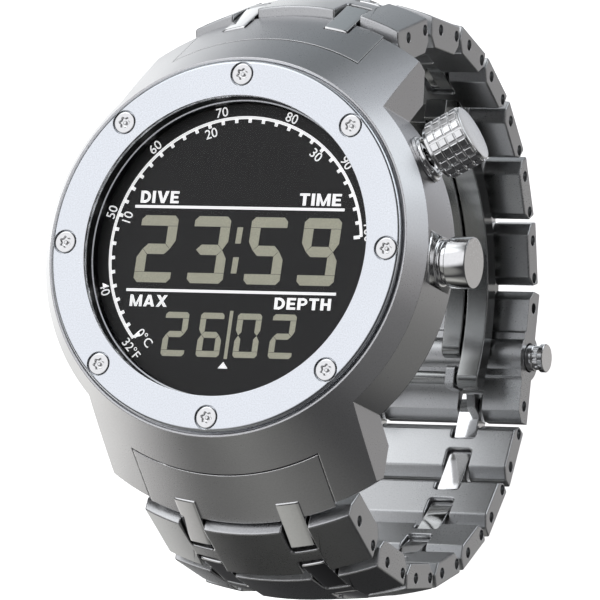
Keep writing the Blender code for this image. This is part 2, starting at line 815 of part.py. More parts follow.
def make_link(name, index, turn):
    origin = PINS[2 * index + 1]
    tilt = LINK_TILTS[index]
    pitch = LINK_PITCHES[index]
    holes = [circle_points(PINS[2 * index + 1], PIN_HOLE_RADIUS, PIN_STEPS)]
    holes.append(circle_points(PINS[2 * index + 2], PIN_HOLE_RADIUS, PIN_STEPS))
    outline = local_loop(origin, tilt, link_corners(index))
    body = slab(name, [outline] + holes, -BAND_HALF_WIDTH - 1.0, BAND_HALF_WIDTH + 1.0)
    envelope = crown_envelope(LINK_CROWNS[index], -POCKET_REACH, pitch + 2.0 * POCKET_REACH)
    place(envelope, local_matrix(origin, tilt))
    body = keep_inside(body, envelope)
    for sign in (1, -1):
        body = cut(body, pocket_pair(index, sign))
    place(body, Matrix.Rotation(turn, 4, "Z"))
    finish(body, BLASTED_STEEL)
    pivot = Matrix.Rotation(turn, 4, "Z") @ Vector(point(0.0, origin[1], origin[0]))
    set_origin(body, pivot)


def connector_crown(index):
    """The lower of the two crown heights that meet at a connector, where its plates lie."""
    crowns = [LINK_CROWNS[k] for k in (index - 1, index) if 0 <= k < len(LINK_CROWNS)]
    fraction = 1.0 - (PLATE_OUTER / BAND_HALF_WIDTH) ** 2
    return min(crowns) * fraction


def make_connector(name, index, turn):
    """Two plates in the links' pockets, joined by the two pins that run through the links.

    The first connector's plates have a cut-back heel that clears the case.
    """
    origin = PINS[2 * index]
    tilt = CONNECTOR_TILTS[index]
    pitch = CONNECTOR_PITCHES[index]
    top = CONNECTOR_HEIGHT + connector_crown(index)
    heel = [(-PLATE_END, FIRST_HEEL_HEIGHT), (FIRST_HEEL_LENGTH, -CONNECTOR_HEIGHT)]
    if index > 0:
        heel = [(-PLATE_END, -CONNECTOR_HEIGHT)]
    corners = [
        (-PLATE_END, top),
        *heel,
        (pitch + PLATE_END, -CONNECTOR_HEIGHT),
        (pitch + PLATE_END, top),
    ]
    loop = local_loop(origin, tilt, corners)
    body = slab(name, [loop], PLATE_INNER, PLATE_OUTER)
    inner_reach = END_LINK_PIN_HALF_LENGTH if index == 0 else PIN_HALF_LENGTH
    body = join(body, chain_pin(PINS[2 * index], inner_reach))
    body = join(body, chain_pin(PINS[2 * index + 1], PIN_HALF_LENGTH))
    body = join(body, slab("plate", [loop], -PLATE_OUTER, -PLATE_INNER))
    place(body, Matrix.Rotation(turn, 4, "Z"))
    finish(body, POLISHED_STEEL)
    pivot = Matrix.Rotation(turn, 4, "Z") @ Vector(point(0.0, origin[1], origin[0]))
    set_origin(body, pivot)


def chain_pin(centre, reach):
    depth, along = centre
    start = point(-reach, along, depth)
    end = point(reach, along, depth)
    return rod("pin", PIN_RADIUS, start, end, PIN_STEPS)


def make_bracelet():
    sides = (("u", 0.0), ("l", math.pi))
    for letter, turn in sides:
        for index in range(len(LINK_PITCHES)):
            make_link("link_%s%d" % (letter, index + 1), index, turn)
            make_connector("connector_%s%d" % (letter, index + 1), index, turn)
    last = len(LINK_PITCHES)
    make_connector("connector_l%d" % (last + 1), last, math.pi)


# ---------------------------------------------------------------- clasp

def cover_pocket(sign_along, sign_across):
    low, high = pocket_sides(sign_across)
    start, end = ordered(sign_along * (PINS[-1][1] - POCKET_END), sign_along * (COVER_HALF_LENGTH + 1.0))
    bottom = COVER_OUTER_DEPTH + 1.0
    top = COVER_INNER_DEPTH - BARREL_RADIUS
    return block("cover_pocket", point(low, start, bottom), point(high, end, top))


def cover_outline():
    half = COVER_HALF_LENGTH
    inner = COVER_INNER_CHAMFER
    outer = COVER_OUTER_CHAMFER
    return [
        (COVER_INNER_DEPTH, -half + inner),
        (COVER_INNER_DEPTH, half - inner),
        (COVER_INNER_DEPTH + inner, half),
        (COVER_OUTER_DEPTH - outer, half),
        (COVER_OUTER_DEPTH, half - outer),
        (COVER_OUTER_DEPTH, -half + outer),
        (COVER_OUTER_DEPTH - outer, -half),
        (COVER_INNER_DEPTH + inner, -half),
    ]


def make_ear(sign):
    """One of the cover's two ears, with the eye that the frame blade's pin turns in."""
    depth, along = FRAME_PIN
    low, high = ordered(sign * EAR_SIDES[0], sign * EAR_SIDES[1])
    outline = [
        (EAR_BASE_DEPTH, along - EAR_FOOT_REACH),
        (EAR_FOOT_DEPTH, along - EAR_FOOT_REACH),
        (EAR_FOOT_DEPTH - EAR_FOOT_REACH, along - EAR_REACH),
        (depth - EAR_REACH, along - EAR_REACH),
        (depth - EAR_REACH, along + EAR_REACH),
        (EAR_BASE_DEPTH, along + EAR_REACH),
    ]
    eye = circle_points(FRAME_PIN, FRAME_PIN_RADIUS + GAP, PIN_STEPS)
    return slab("ear", [outline, eye], low, high)


def make_cover():
    """The clasp's outer plate: its barrel houses the buttons and its ears hold the frame blade."""
    last = PINS[-1]
    holes = [
        circle_points(last, PIN_HOLE_RADIUS, PIN_STEPS),
        circle_points((last[0], -last[1]), PIN_HOLE_RADIUS, PIN_STEPS),
    ]
    body = slab("clasp_cover", [cover_outline()] + holes, -BAND_HALF_WIDTH, BAND_HALF_WIDTH)
    reach = BAND_HALF_WIDTH - 0.02
    start = point(-reach, 0.0, BARREL_DEPTH)
    end = point(reach, 0.0, BARREL_DEPTH)
    body = join(body, rod("barrel", BARREL_RADIUS, start, end, SMALL_STEPS))
    for sign_along in (1, -1):
        for sign_across in (1, -1):
            body = cut(body, cover_pocket(sign_along, sign_across))
    for sign in (1, -1):
        start = point(sign * BUTTON_BORE_START, 0.0, BARREL_DEPTH)
        end = point(sign * TOOL_REACH, 0.0, BARREL_DEPTH)
        body = cut(body, rod("button_bore", BUTTON_BORE_RADIUS, start, end, SMALL_STEPS))
        body = join(body, make_ear(sign))
    finish(body, BLASTED_STEEL)
    set_origin(body, point(0.0, -last[1], last[0]))


def make_button(name, sign):
    profile = [
        (0.0, BUTTON_END),
        (BUTTON_RADIUS - 0.1, BUTTON_END),
        (BUTTON_RADIUS, BUTTON_END - 0.1),
        (BUTTON_RADIUS, BUTTON_NECK_END),
        (BUTTON_NECK_RADIUS, BUTTON_NECK_END),
        (BUTTON_NECK_RADIUS, BUTTON_NECK_START),
        (BUTTON_RADIUS, BUTTON_NECK_START),
        (BUTTON_RADIUS, BUTTON_START),
        (0.0, BUTTON_START),
    ]
    button = turned(name, profile, SMALL_STEPS)
    lay = Matrix.Rotation(math.radians(90.0 * sign), 4, "Y")
    centre = Vector(point(0.0, 0.0, BARREL_DEPTH)) * MM
    place(button, Matrix.Translation(centre) @ lay)
    finish(button, POLISHED_STEEL)
    set_origin(button, point(sign * BAND_HALF_WIDTH, 0.0, BARREL_DEPTH))


def blade_band(first, last, inner=BLADE_INNER_RADIUS, outer=BLADE_OUTER_RADIUS):
    """A stretch of the blades' curved strip, as one loop."""
    count = max(2, int((last - first) / 6.0) + 2)
    outside = arc_points(BLADE_CENTRE, outer, first, last, count)
    inside = arc_points(BLADE_CENTRE, inner, last, first, count)
    return outside + inside


def rail_band(first, last):
    """A blade's rail, whose free end at the first angle is rounded."""
    middle = (BLADE_INNER_RADIUS + BLADE_OUTER_RADIUS) / 2.0
    nose = (BLADE_OUTER_RADIUS - BLADE_INNER_RADIUS) / 2.0
    start = first + math.degrees(nose / middle)
    centre = arc_points(BLADE_CENTRE, middle, start, start + 1.0, 2)[0]
    tip = arc_points(centre, nose, start + 180.0, start + 360.0, 7)
    return blade_band(start, last) + tip[1:-1]


def blade_angle(depth, along):
    return math.degrees(math.atan2(along - BLADE_CENTRE[1], depth - BLADE_CENTRE[0]))


def mirrored_slabs(body, loops, low, high):
    """Joins the same slab on both sides of the middle."""
    body = join(body, slab("right", loops, low, high))
    return join(body, slab("left", loops, -high, -low))


def make_frame_blade():
    """Two outer rails joined by the hinge pin that turns in the cover's ear."""
    low, high = FRAME_RAIL
    rail = [rail_band(blade_angle(*FRAME_PIN) - FRAME_RAIL_OVERHANG, FRAME_RAIL_END)]
    depth, along = FRAME_PIN
    reach = (low + high) / 2.0
    body = slab("clasp_frame_blade", rail, low, high)
    start = point(-reach, along, depth)
    end = point(reach, along, depth)
    body = join(body, rod("blade_pin", FRAME_PIN_RADIUS, start, end, PIN_STEPS))
    body = join(body, slab("rail", rail, -high, -low))
    finish(body, POLISHED_STEEL)
    set_origin(body, point(0.0, along, depth))


def tongue_plate():
    """The outline of the plates that hinge the tongue blade in the last upper link."""
    pitch = CONNECTOR_PITCHES[-1]
    return [
        (-TONGUE_PLATE_SHOULDER, CONNECTOR_HEIGHT),
        (-TONGUE_PLATE_NOSE, TONGUE_PLATE_CHEEK),
        (-TONGUE_PLATE_NOSE, -TONGUE_PLATE_CHEEK),
        (-TONGUE_PLATE_SHOULDER, -CONNECTOR_HEIGHT),
        (pitch + TONGUE_PLATE_END, -CONNECTOR_HEIGHT),
        (pitch + TONGUE_PLATE_END, CONNECTOR_HEIGHT),
    ]


def make_tongue_blade():
    """Two inner rails, hinged in the last upper link by plates that reach into the cover."""
    low, high = TONGUE_RAIL
    pivot = PINS[-2]
    tilt = CONNECTOR_TILTS[-1]
    near, far = WEB_LENGTH
    crossbar = [blade_band(*CROSSBAR_ANGLES)]
    reach = low + CROSSBAR_OVERLAP
    body = slab("clasp_tongue_blade", crossbar, -reach, reach)
    rails = [rail_band(blade_angle(*TONGUE_RAIL_START), TONGUE_RAIL_END)]
    plate = local_loop(pivot, tilt, tongue_plate())
    web = local_loop(pivot, tilt, [(near, 0.0), (near, -WEB_HEIGHT), (far, -WEB_HEIGHT), (far, 0.0)])
    body = mirrored_slabs(body, rails, low, high)
    body = mirrored_slabs(body, [web], PLATE_INNER, high - 0.01)
    body = mirrored_slabs(body, [plate], PLATE_INNER - 0.01, PLATE_OUTER)
    body = join(body, chain_pin(pivot, PIN_HALF_LENGTH))
    finish(body, POLISHED_STEEL)
    set_origin(body, point(0.0, pivot[1], pivot[0]))


def main():
    make_case()
    make_end_link("end_link_upper", 0.0)
    make_end_link("end_link_lower", math.pi)
    make_bezel()
    make_bezel_screws()
    make_module()
    make_caseback()
    make_tube("crown_tube", CROWN_ANGLE)
    make_tube("pusher_tube", PUSHER_ANGLE)
    make_crown_stem()
    make_crown_knob()
    make_pusher()
    make_bracelet()
    make_cover()
    make_button("clasp_button_right", 1)
    make_button("clasp_button_left", -1)
    make_frame_blade()
    make_tongue_blade()


main()
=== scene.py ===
import json
import math

import bmesh
import bpy
from mathutils import Matrix, Vector


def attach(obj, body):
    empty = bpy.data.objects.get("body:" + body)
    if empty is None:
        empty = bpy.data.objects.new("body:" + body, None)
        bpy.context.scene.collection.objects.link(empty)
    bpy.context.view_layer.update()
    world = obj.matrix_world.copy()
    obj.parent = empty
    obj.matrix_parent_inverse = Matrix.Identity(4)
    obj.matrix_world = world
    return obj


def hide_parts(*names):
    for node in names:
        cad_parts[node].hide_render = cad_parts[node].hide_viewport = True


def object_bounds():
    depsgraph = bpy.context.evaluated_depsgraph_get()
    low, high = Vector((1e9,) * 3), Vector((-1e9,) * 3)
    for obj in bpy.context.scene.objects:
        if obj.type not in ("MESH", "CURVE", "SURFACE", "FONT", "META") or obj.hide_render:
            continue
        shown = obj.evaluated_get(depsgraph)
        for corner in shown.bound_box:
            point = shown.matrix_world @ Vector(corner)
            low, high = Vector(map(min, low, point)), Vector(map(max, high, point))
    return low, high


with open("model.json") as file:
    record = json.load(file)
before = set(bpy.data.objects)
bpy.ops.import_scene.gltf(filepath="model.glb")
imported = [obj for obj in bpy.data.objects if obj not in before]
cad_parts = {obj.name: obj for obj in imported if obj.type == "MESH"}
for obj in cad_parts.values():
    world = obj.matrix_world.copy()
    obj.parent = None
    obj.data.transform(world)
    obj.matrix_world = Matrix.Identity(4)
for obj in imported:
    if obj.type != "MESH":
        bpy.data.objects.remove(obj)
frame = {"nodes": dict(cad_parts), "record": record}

CAD_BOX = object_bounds()
MM = 0.001
TOP = 14.0  # height of the bezel's front plane above the caseback, in mm
RECORD = frame["record"]
JOINTS = {joint["name"]: joint for joint in RECORD["behaviour"]["joints"]}
COLLECTION = bpy.data.collections.new("dive_computer_looks")
bpy.context.scene.collection.children.link(COLLECTION)

# Case and bezel, in mm from the dial's axis and from the bezel's front plane
CONE_RADIUS = 22.15
CONE_DEPTH = 0.75
CONE_SLOPE = 0.645
WALL_RADIUS = 23.8
LUG_HALF_WIDTH = 16.5
LUG_TIP_RADIUS = 29.6
LUG_FOOT_RADIUS = 25.9
LUG_FOOT_DEPTH = 14.7
CASE_FLOOR = 12.6
CAVITY_RADIUS = 20.9
CAVITY_TOP = 3.9
END_LINK_HALF_WIDTH = 11.55
END_LINK_RADIUS = 25.6
END_LINK_TIP_RADIUS = 29.9
PANEL_GAP = 0.11
BEZEL_INNER = 17.5
BEZEL_OUTER = 21.65
BEZEL_THICKNESS = 1.3
CRYSTAL_RADIUS = 18.2
CRYSTAL_TOP = 0.9
CRYSTAL_THICKNESS = 1.2
DIAL_DEPTH = 3.2
DIAL_RADIUS = 17.2
CONTROL_DEPTH = 7.3
CROWN_ANGLE = 30.0
PUSHER_ANGLE = 0.0
SCREW_CIRCLE = 20.0
SCREW_COUNT = 8

# Bracelet
BAND_HALF_WIDTH = 12.84
LINK_CROWNS = (2.9, 2.2, 1.6, 1.1, 0.7, 0.4, 0.2)
LINK_INNER_HEIGHTS = (2.7, 2.3, 1.75, 1.5, 1.5, 1.5, 1.5)
LINK_NEAR_MARGINS = (3.1, 2.7, 2.7, 2.1, 2.1, 2.1, 2.1)
LINK_FAR_MARGIN = 0.9
LINK_OUTER_HEIGHT = 1.25
FIRST_LINK_LEAN = 0.1
INNER_CHAMFER = 1.2
PIN_HOLE = 0.65
PIN_RADIUS = 0.5
POCKET_LOW = 4.85
POCKET_HIGH = 8.0
POCKET_END = 1.55
POCKET_CORNER = 0.45
PLATE_LOW = 5.05
PLATE_HIGH = 7.8
PLATE_END = 1.3
PLATE_HEIGHT = 1.15
PLATE_RECESS = 0.22
PIN_REACH = 12.0
END_LINK_CROWN = 2.6
COVER_CROWN = 0.1

# Clasp
COVER_INNER = 61.3
COVER_OUTER = 64.2
COVER_HALF = 8.0
COVER_CHAMFER = 1.2
EAR_SIDES = (4.9, 6.0)
EAR_REACH = 1.35
BORE_RADIUS = 1.78
RAIL_EDGE = 0.16
BARREL_DEPTH = 63.0
BARREL_RADIUS = 2.8
BLADE_CENTRE = (36.6, 3.0)
BLADE_OUTER = 23.4
BLADE_INNER = 21.0
FRAME_RAIL = (6.3, 9.0)
TONGUE_RAIL = (3.6, 6.0)
FRAME_PIN = (57.8, -3.7)

COPLANAR = 0.05  # degrees
FINE = 192
MEDIUM = 96
SMALL = 48


# ---------------------------------------------------------------- mesh helpers

def add(name, mesh):
    obj = bpy.data.objects.new(name, mesh)
    COLLECTION.objects.link(obj)
    return obj


def from_bmesh(name, bm):
    mesh = bpy.data.meshes.new(name)
    bm.to_mesh(mesh)
    bm.free()
    return add(name, mesh)


def baked(obj):
    """The object with its modifiers and transform written into its mesh."""
    depsgraph = bpy.context.evaluated_depsgraph_get()
    depsgraph.update()
    mesh = bpy.data.meshes.new_from_object(obj.evaluated_get(depsgraph))
    mesh.transform(obj.matrix_world)
    name = obj.name
    bpy.data.objects.remove(obj, do_unlink=True)
    return add(name, mesh)


def tidy_mesh(obj):
    """Welds what coincides and joins coplanar triangles."""
    bm = bmesh.new()
    bm.from_mesh(obj.data)
    bmesh.ops.remove_doubles(bm, verts=bm.verts, dist=0.002 * MM)
    bmesh.ops.dissolve_limit(
        bm, angle_limit=math.radians(COPLANAR), verts=bm.verts, edges=bm.edges, delimit=set()
    )
    bmesh.ops.recalc_face_normals(bm, faces=bm.faces)
    bm.to_mesh(obj.data)
    bm.free()
    return obj


def across_span(side, inner, outer):
    """A width on one side of the band, in rising order."""
    return sorted((side * inner, side * outer))


def point(across, along, depth):
    return Vector((across * MM, along * MM, (TOP - depth) * MM))


def loft(name, rings, matrix=None, closed=False):
    """Skins rings of equal length; the ends are capped unless the rings close on themselves."""
    bm = bmesh.new()
    rows = [[bm.verts.new(corner) for corner in ring] for ring in rings]
    count = len(rows[0])
    pairs = list(zip(rows, rows[1:]))
    if closed:
        pairs.append((rows[-1], rows[0]))
    for first, second in pairs:
        for index in range(count):
            after = (index + 1) % count
            bm.faces.new((first[index], first[after], second[after], second[index]))
    if not closed:
        bm.faces.new(list(reversed(rows[0])))
        bm.faces.new(rows[-1])
    bmesh.ops.remove_doubles(bm, verts=bm.verts, dist=0.0005 * MM)
    bmesh.ops.recalc_face_normals(bm, faces=bm.faces)
    obj = from_bmesh(name, bm)
    if matrix is not None:
        obj.data.transform(matrix)
    return obj


def circle(radius, height, steps, shape=None):
    """A ring about Z; shape may change the radius with the angle."""
    ring = []
    for index in range(steps):
        angle = 2.0 * math.pi * index / steps
        reach = radius if shape is None else shape(radius, angle)
        ring.append((reach * math.cos(angle) * MM, reach * math.sin(angle) * MM, height * MM))
    return ring


def turned(name, profile, steps=FINE, matrix=None, closed=False):
    """A profile of (radius, height) pairs spun about Z."""
    rings = [circle(radius, height, steps) for radius, height in profile]
    return loft(name, rings, matrix, closed)


def lathe(name, profile, steps=FINE, closed=False):
    """The same with (radius, depth below the bezel's front) pairs."""
    return turned(name, [(radius, TOP - depth) for radius, depth in profile], steps, None, closed)


def block(name, low, high):
    low, high = Vector(low), Vector(high)
    corners = [Vector(map(min, low, high)), Vector(map(max, low, high))]
    size = corners[1] - corners[0]
    centre = (corners[0] + corners[1]) / 2
    bm = bmesh.new()
    matrix = Matrix.Translation(centre) @ Matrix.Diagonal((*size, 1.0))
    bmesh.ops.create_cube(bm, size=1.0, matrix=matrix)
    return from_bmesh(name, bm)


def pocket_cutter(side, start, end):
    """The room for a connector plate: across and along the link, with rounded corners."""
    low, high = across_span(side, POCKET_LOW, POCKET_HIGH)
    loop = rounded_loop([(low, start), (high, start), (high, end), (low, end)], POCKET_CORNER)
    rings = []
    for height in (-6.0, 8.0):
        rings.append([(a * MM, s * MM, height * MM) for a, s in loop])
    return loft("pocket", rings)


def rod(name, radius, start, end, steps=SMALL, dome=0.0):
    """A round bar between two points in metres, with slightly rounded ends."""
    length = (Vector(end) - Vector(start)).length / MM
    soft = dome or 0.0001
    profile = [
        (radius - soft, 0.0),
        (radius, soft),
        (radius, length - soft),
        (radius - soft, length),
    ]
    turn = (Vector(end) - Vector(start)).to_track_quat("Z", "Y").to_matrix().to_4x4()
    return turned(name, profile, steps, Matrix.Translation(start) @ turn)


def prism(name, loops, low, high):
    """Flat loops of (u, v) in mm, extruded along X from low to high, with u along Y and v along Z."""
    curve = bpy.data.curves.new(name, "CURVE")
    curve.dimensions = "2D"
    curve.fill_mode = "BOTH"
    curve.extrude = (high - low) / 2 * MM
    for loop in loops:
        spline = curve.splines.new("POLY")
        spline.points.add(len(loop) - 1)
        spline.use_cyclic_u = True
        for corner, (u, v) in zip(spline.points, loop):
            corner.co = (u * MM, v * MM, 0.0, 1.0)
    obj = add(name, curve)
    obj.matrix_world = Matrix(
        ((0, 0, 1, (high + low) / 2 * MM), (1, 0, 0, 0), (0, 1, 0, 0), (0, 0, 0, 1))
    )
    return tidy_mesh(baked(obj))


def slab(name, loops, low, high):
    """The same in the plane of depth and 12 o'clock distance."""
    return prism(name, [[(along, TOP - depth) for depth, along in loop] for loop in loops], low, high)


def combine(obj, other, operation):
    modifier = obj.modifiers.new("cut", "BOOLEAN")
    modifier.operation = operation
    modifier.solver = "EXACT"
    modifier.object = other
    result = baked(obj)
    bpy.data.objects.remove(other, do_unlink=True)
    return result


def cut(obj, other):
    return combine(obj, other, "DIFFERENCE")


def merged(name, objs):
    """Several closed pieces as one object."""
    bm = bmesh.new()
    for obj in objs:
        bm.from_mesh(obj.data)
        bpy.data.objects.remove(obj, do_unlink=True)
    return from_bmesh(name, bm)


def bevelled(obj, width, segments=2, angle=30.0, edge_material=None):
    """Rounds the piece's real edges; they may take a second material."""
    tidy_mesh(obj)
    modifier = obj.modifiers.new("edges", "BEVEL")
    modifier.width = width * MM
    modifier.segments = segments
    modifier.limit_method = "ANGLE"
    modifier.angle_limit = math.radians(angle)
    modifier.use_clamp_overlap = False
    if edge_material is not None:
        modifier.material = edge_material
    return baked(obj)


def piece(obj, body, slot, *materials, replaces=(), sharp=28.0, matrix=None):
    """Shades a finished mesh and ties it to its body and CAD nodes; slot is not used."""
    if matrix is not None:
        obj.data.transform(matrix)
    obj.data.materials.clear()
    for material in materials:
        obj.data.materials.append(material)
    obj.data.shade_smooth()
    obj.data.set_sharp_from_angle(angle=math.radians(sharp))
    weigh = obj.modifiers.new("even_shading", "WEIGHTED_NORMAL")
    weigh.keep_sharp = True
    weigh.weight = 100
    obj = baked(obj)
    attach(obj, body)
    if replaces:
        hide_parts(*replaces)
    return obj


# ---------------------------------------------------------------- materials

class Nodes:
    """A node tree being built."""

    def __init__(self, tree):
        self.tree = tree

    def add(self, kind, **settings):
        node = self.tree.nodes.new(kind)
        for key, value in settings.items():
            setattr(node, key, value)
        return node

    def link(self, source, target):
        self.tree.links.new(source, target)

    def noise(self, coordinates, scale, detail=2.0, roughness=0.5):
        node = self.add("ShaderNodeTexNoise")
        self.link(coordinates, node.inputs["Vector"])
        node.inputs["Scale"].default_value = scale
        node.inputs["Detail"].default_value = detail
        node.inputs["Roughness"].default_value = roughness
        return node.outputs["Fac"]

    def span(self, value, low, high, start=0.0, end=1.0):
        node = self.add("ShaderNodeMapRange")
        self.link(value, node.inputs["Value"])
        node.inputs["From Min"].default_value = start
        node.inputs["From Max"].default_value = end
        node.inputs["To Min"].default_value = low
        node.inputs["To Max"].default_value = high
        return node.outputs["Result"]

    def blend(self, factor, first, second):
        node = self.add("ShaderNodeMix", data_type="RGBA")
        self.link(factor, node.inputs["Factor"])
        for socket, value in ((node.inputs[6], first), (node.inputs[7], second)):
            if isinstance(value, tuple):
                socket.default_value = (*value, 1.0)
            else:
                self.link(value, socket)
        return node.outputs[2]

    def math(self, operation, first, second):
        node = self.add("ShaderNodeMath", operation=operation)
        for socket, value in zip(node.inputs, (first, second)):
            if isinstance(value, float):
                socket.default_value = value
            else:
                self.link(value, socket)
        return node.outputs[0]


def add_relief(nodes, shader, height, strength, distance, normal=None):
    relief = nodes.add("ShaderNodeBump")
    relief.inputs["Strength"].default_value = strength
    relief.inputs["Distance"].default_value = distance * MM
    nodes.link(height, relief.inputs["Height"])
    if normal is not None:
        nodes.link(normal, relief.inputs["Normal"])
    nodes.link(relief.outputs["Normal"], shader.inputs["Normal"])


def new_material(name):
    material = bpy.data.materials.new(name)
    material.use_nodes = True
    shader = material.node_tree.nodes["Principled BSDF"]
    return material, Nodes(material.node_tree), shader


def steel(name, colour, roughness, grain, bump, edge=0.1, wear_and_highlight_colour=(0.9, 0.9, 0.9), shade=0.06):
    """Metal with grain, slow tone changes, and edges that are smoother from wear and painted brighter as a
    highlight.
    """
    material, nodes, shader = new_material(name)
    position = nodes.add("ShaderNodeTexCoord").outputs["Object"]
    fine = nodes.noise(position, grain, 3.0, 0.6)
    slow = nodes.noise(position, 90.0, 3.0, 0.5)
    dark = tuple(value * (1.0 - shade) for value in colour)
    light = tuple(min(1.0, value * (1.0 + shade)) for value in colour)
    contrast = nodes.span(fine, 0.0, 1.0, 0.35, 0.65)
    mixed = nodes.math("MULTIPLY", contrast, nodes.span(slow, 0.8, 1.2, 0.35, 0.65))
    tone = nodes.blend(mixed, dark, light)
    round_edge = nodes.add("ShaderNodeBevel", samples=4)
    round_edge.inputs["Radius"].default_value = edge * MM
    facing = nodes.add("ShaderNodeVectorMath", operation="DOT_PRODUCT")
    nodes.link(round_edge.outputs["Normal"], facing.inputs[0])
    nodes.link(nodes.add("ShaderNodeNewGeometry").outputs["True Normal"], facing.inputs[1])
    # painted highlight: where the bevel normal turns from the true normal, the colour goes to the bright
    # edge colour; the lower roughness there is real polish from wear
    wear_and_highlight = nodes.span(facing.outputs["Value"], 1.0, 0.0, 0.90, 0.985)
    worn_and_highlit_tone = nodes.blend(wear_and_highlight, tone, wear_and_highlight_colour)
    nodes.link(worn_and_highlit_tone, shader.inputs["Base Color"])
    rough = nodes.span(fine, roughness * 0.9, roughness * 1.12, 0.3, 0.7)
    smear = nodes.math("MULTIPLY", nodes.span(slow, 0.92, 1.08, 0.3, 0.7), rough)
    eased = nodes.add("ShaderNodeMix", data_type="FLOAT")
    nodes.link(wear_and_highlight, eased.inputs["Factor"])
    nodes.link(smear, eased.inputs[2])
    eased.inputs[3].default_value = roughness * 0.55
    nodes.link(eased.outputs[0], shader.inputs["Roughness"])
    add_relief(nodes, shader, fine, bump, 0.02, round_edge.outputs["Normal"])
    shader.inputs["Metallic"].default_value = 1.0
    return material


def coated(name, colour, roughness, grain, bump, specular=0.5):
    """A painted, moulded or printed surface with fine unevenness."""
    material, nodes, shader = new_material(name)
    position = nodes.add("ShaderNodeTexCoord").outputs["Object"]
    fine = nodes.noise(position, grain, 2.0)
    lighter = tuple(min(1.0, value * 1.15 + 0.002) for value in colour)
    darker = tuple(value * 0.9 for value in colour)
    tone = nodes.blend(nodes.span(fine, 0.0, 1.0, 0.3, 0.7), darker, lighter)
    nodes.link(tone, shader.inputs["Base Color"])
    nodes.link(nodes.span(fine, roughness * 0.9, roughness * 1.1, 0.3, 0.7), shader.inputs["Roughness"])
    add_relief(nodes, shader, fine, bump, 0.01)
    shader.inputs["Specular IOR Level"].default_value = specular
    return material


def printed(name, colour, glow):
    """White print: matt, slightly uneven, and given a painted glow (emission) so that it reads bright under
    the glass.
    """
    material = coated(name, colour, 0.6, 9000.0, 0.2)
    shader = material.node_tree.nodes["Principled BSDF"]
    # painted light: the print emits its own colour though it is no lamp
    shader.inputs["Emission Color"].default_value = (*colour, 1.0)
    shader.inputs["Emission Strength"].default_value = glow
    return material


def crystal_glass():
    """Coated glass: clear, with a weak reflection that grows towards its rim."""
    material, nodes, shader = new_material("crystal_clear")
    nodes.tree.nodes.remove(shader)
    clear = nodes.add("ShaderNodeBsdfTransparent")
    clear.inputs["Color"].default_value = (0.985, 0.985, 0.985, 1.0)
    gloss = nodes.add("ShaderNodeBsdfGlossy")
    position = nodes.add("ShaderNodeTexCoord").outputs["Object"]
    nodes.link(nodes.span(nodes.noise(position, 400.0), 0.01, 0.03), gloss.inputs["Roughness"])
    fresnel = nodes.add("ShaderNodeFresnel")
    fresnel.inputs["IOR"].default_value = 1.10
    mix = nodes.add("ShaderNodeMixShader")
    nodes.link(fresnel.outputs[0], mix.inputs[0])
    nodes.link(clear.outputs[0], mix.inputs[1])
    nodes.link(gloss.outputs[0], mix.inputs[2])
    nodes.link(mix.outputs[0], nodes.tree.nodes["Material Output"].inputs["Surface"])
    return material


def lcd_segment(name, colour, glow):
    """Reflective display segments with their fine fabric-like mottle, given a painted glow: they emit their
    own tone.
    """
    material, nodes, shader = new_material(name)
    position = nodes.add("ShaderNodeTexCoord").outputs["Object"]
    mottle = nodes.noise(position, 7000.0, 3.0, 0.7)
    broad = nodes.noise(position, 700.0, 2.0)
    light = tuple(min(1.0, value * 1.12) for value in colour)
    dark = tuple(value * 0.84 for value in colour)
    fine = nodes.blend(nodes.span(mottle, 0.0, 1.0, 0.35, 0.65), dark, light)
    tone = nodes.blend(nodes.span(broad, 0.0, 0.5, 0.4, 0.7), fine, tuple(v * 0.9 for v in colour))
    nodes.link(tone, shader.inputs["Base Color"])
    # painted light: the segments emit their colour though they are no lamp
    nodes.link(tone, shader.inputs["Emission Color"])
    shader.inputs["Emission Strength"].default_value = glow
    nodes.link(nodes.span(mottle, 0.35, 0.6), shader.inputs["Roughness"])
    return material


CASE_STEEL = steel(
    "case_blasted_steel", (0.62, 0.62, 0.63), 0.30, 6000.0, 0.3,
    edge=0.15, wear_and_highlight_colour=(1.0, 1.0, 1.0),
)
LINK_STEEL = steel("link_blasted_steel", (0.62, 0.625, 0.63), 0.30, 6000.0, 0.35)
# painted highlight: the links' bevel faces take this near-white steel, brighter than the links' own steel;
# its low roughness stands for real polished edges
EDGE_HIGHLIGHT_STEEL = steel("link_edge_steel", (0.97, 0.97, 0.97), 0.13, 6000.0, 0.1, edge=0.03, shade=0.02)
BEZEL_STEEL = steel("bezel_satin_steel", (0.83, 0.86, 0.90), 0.24, 6500.0, 0.15, edge=0.08)
SATIN_END = steel("control_end_satin", (0.96, 0.95, 0.94), 0.24, 6500.0, 0.15, edge=0.06)
BACK_STEEL = steel("caseback_satin_steel", (0.66, 0.67, 0.69), 0.26, 6500.0, 0.2)
MIRROR = steel("mirror_steel", (0.86, 0.86, 0.86), 0.045, 2500.0, 0.02, edge=0.06, shade=0.02)
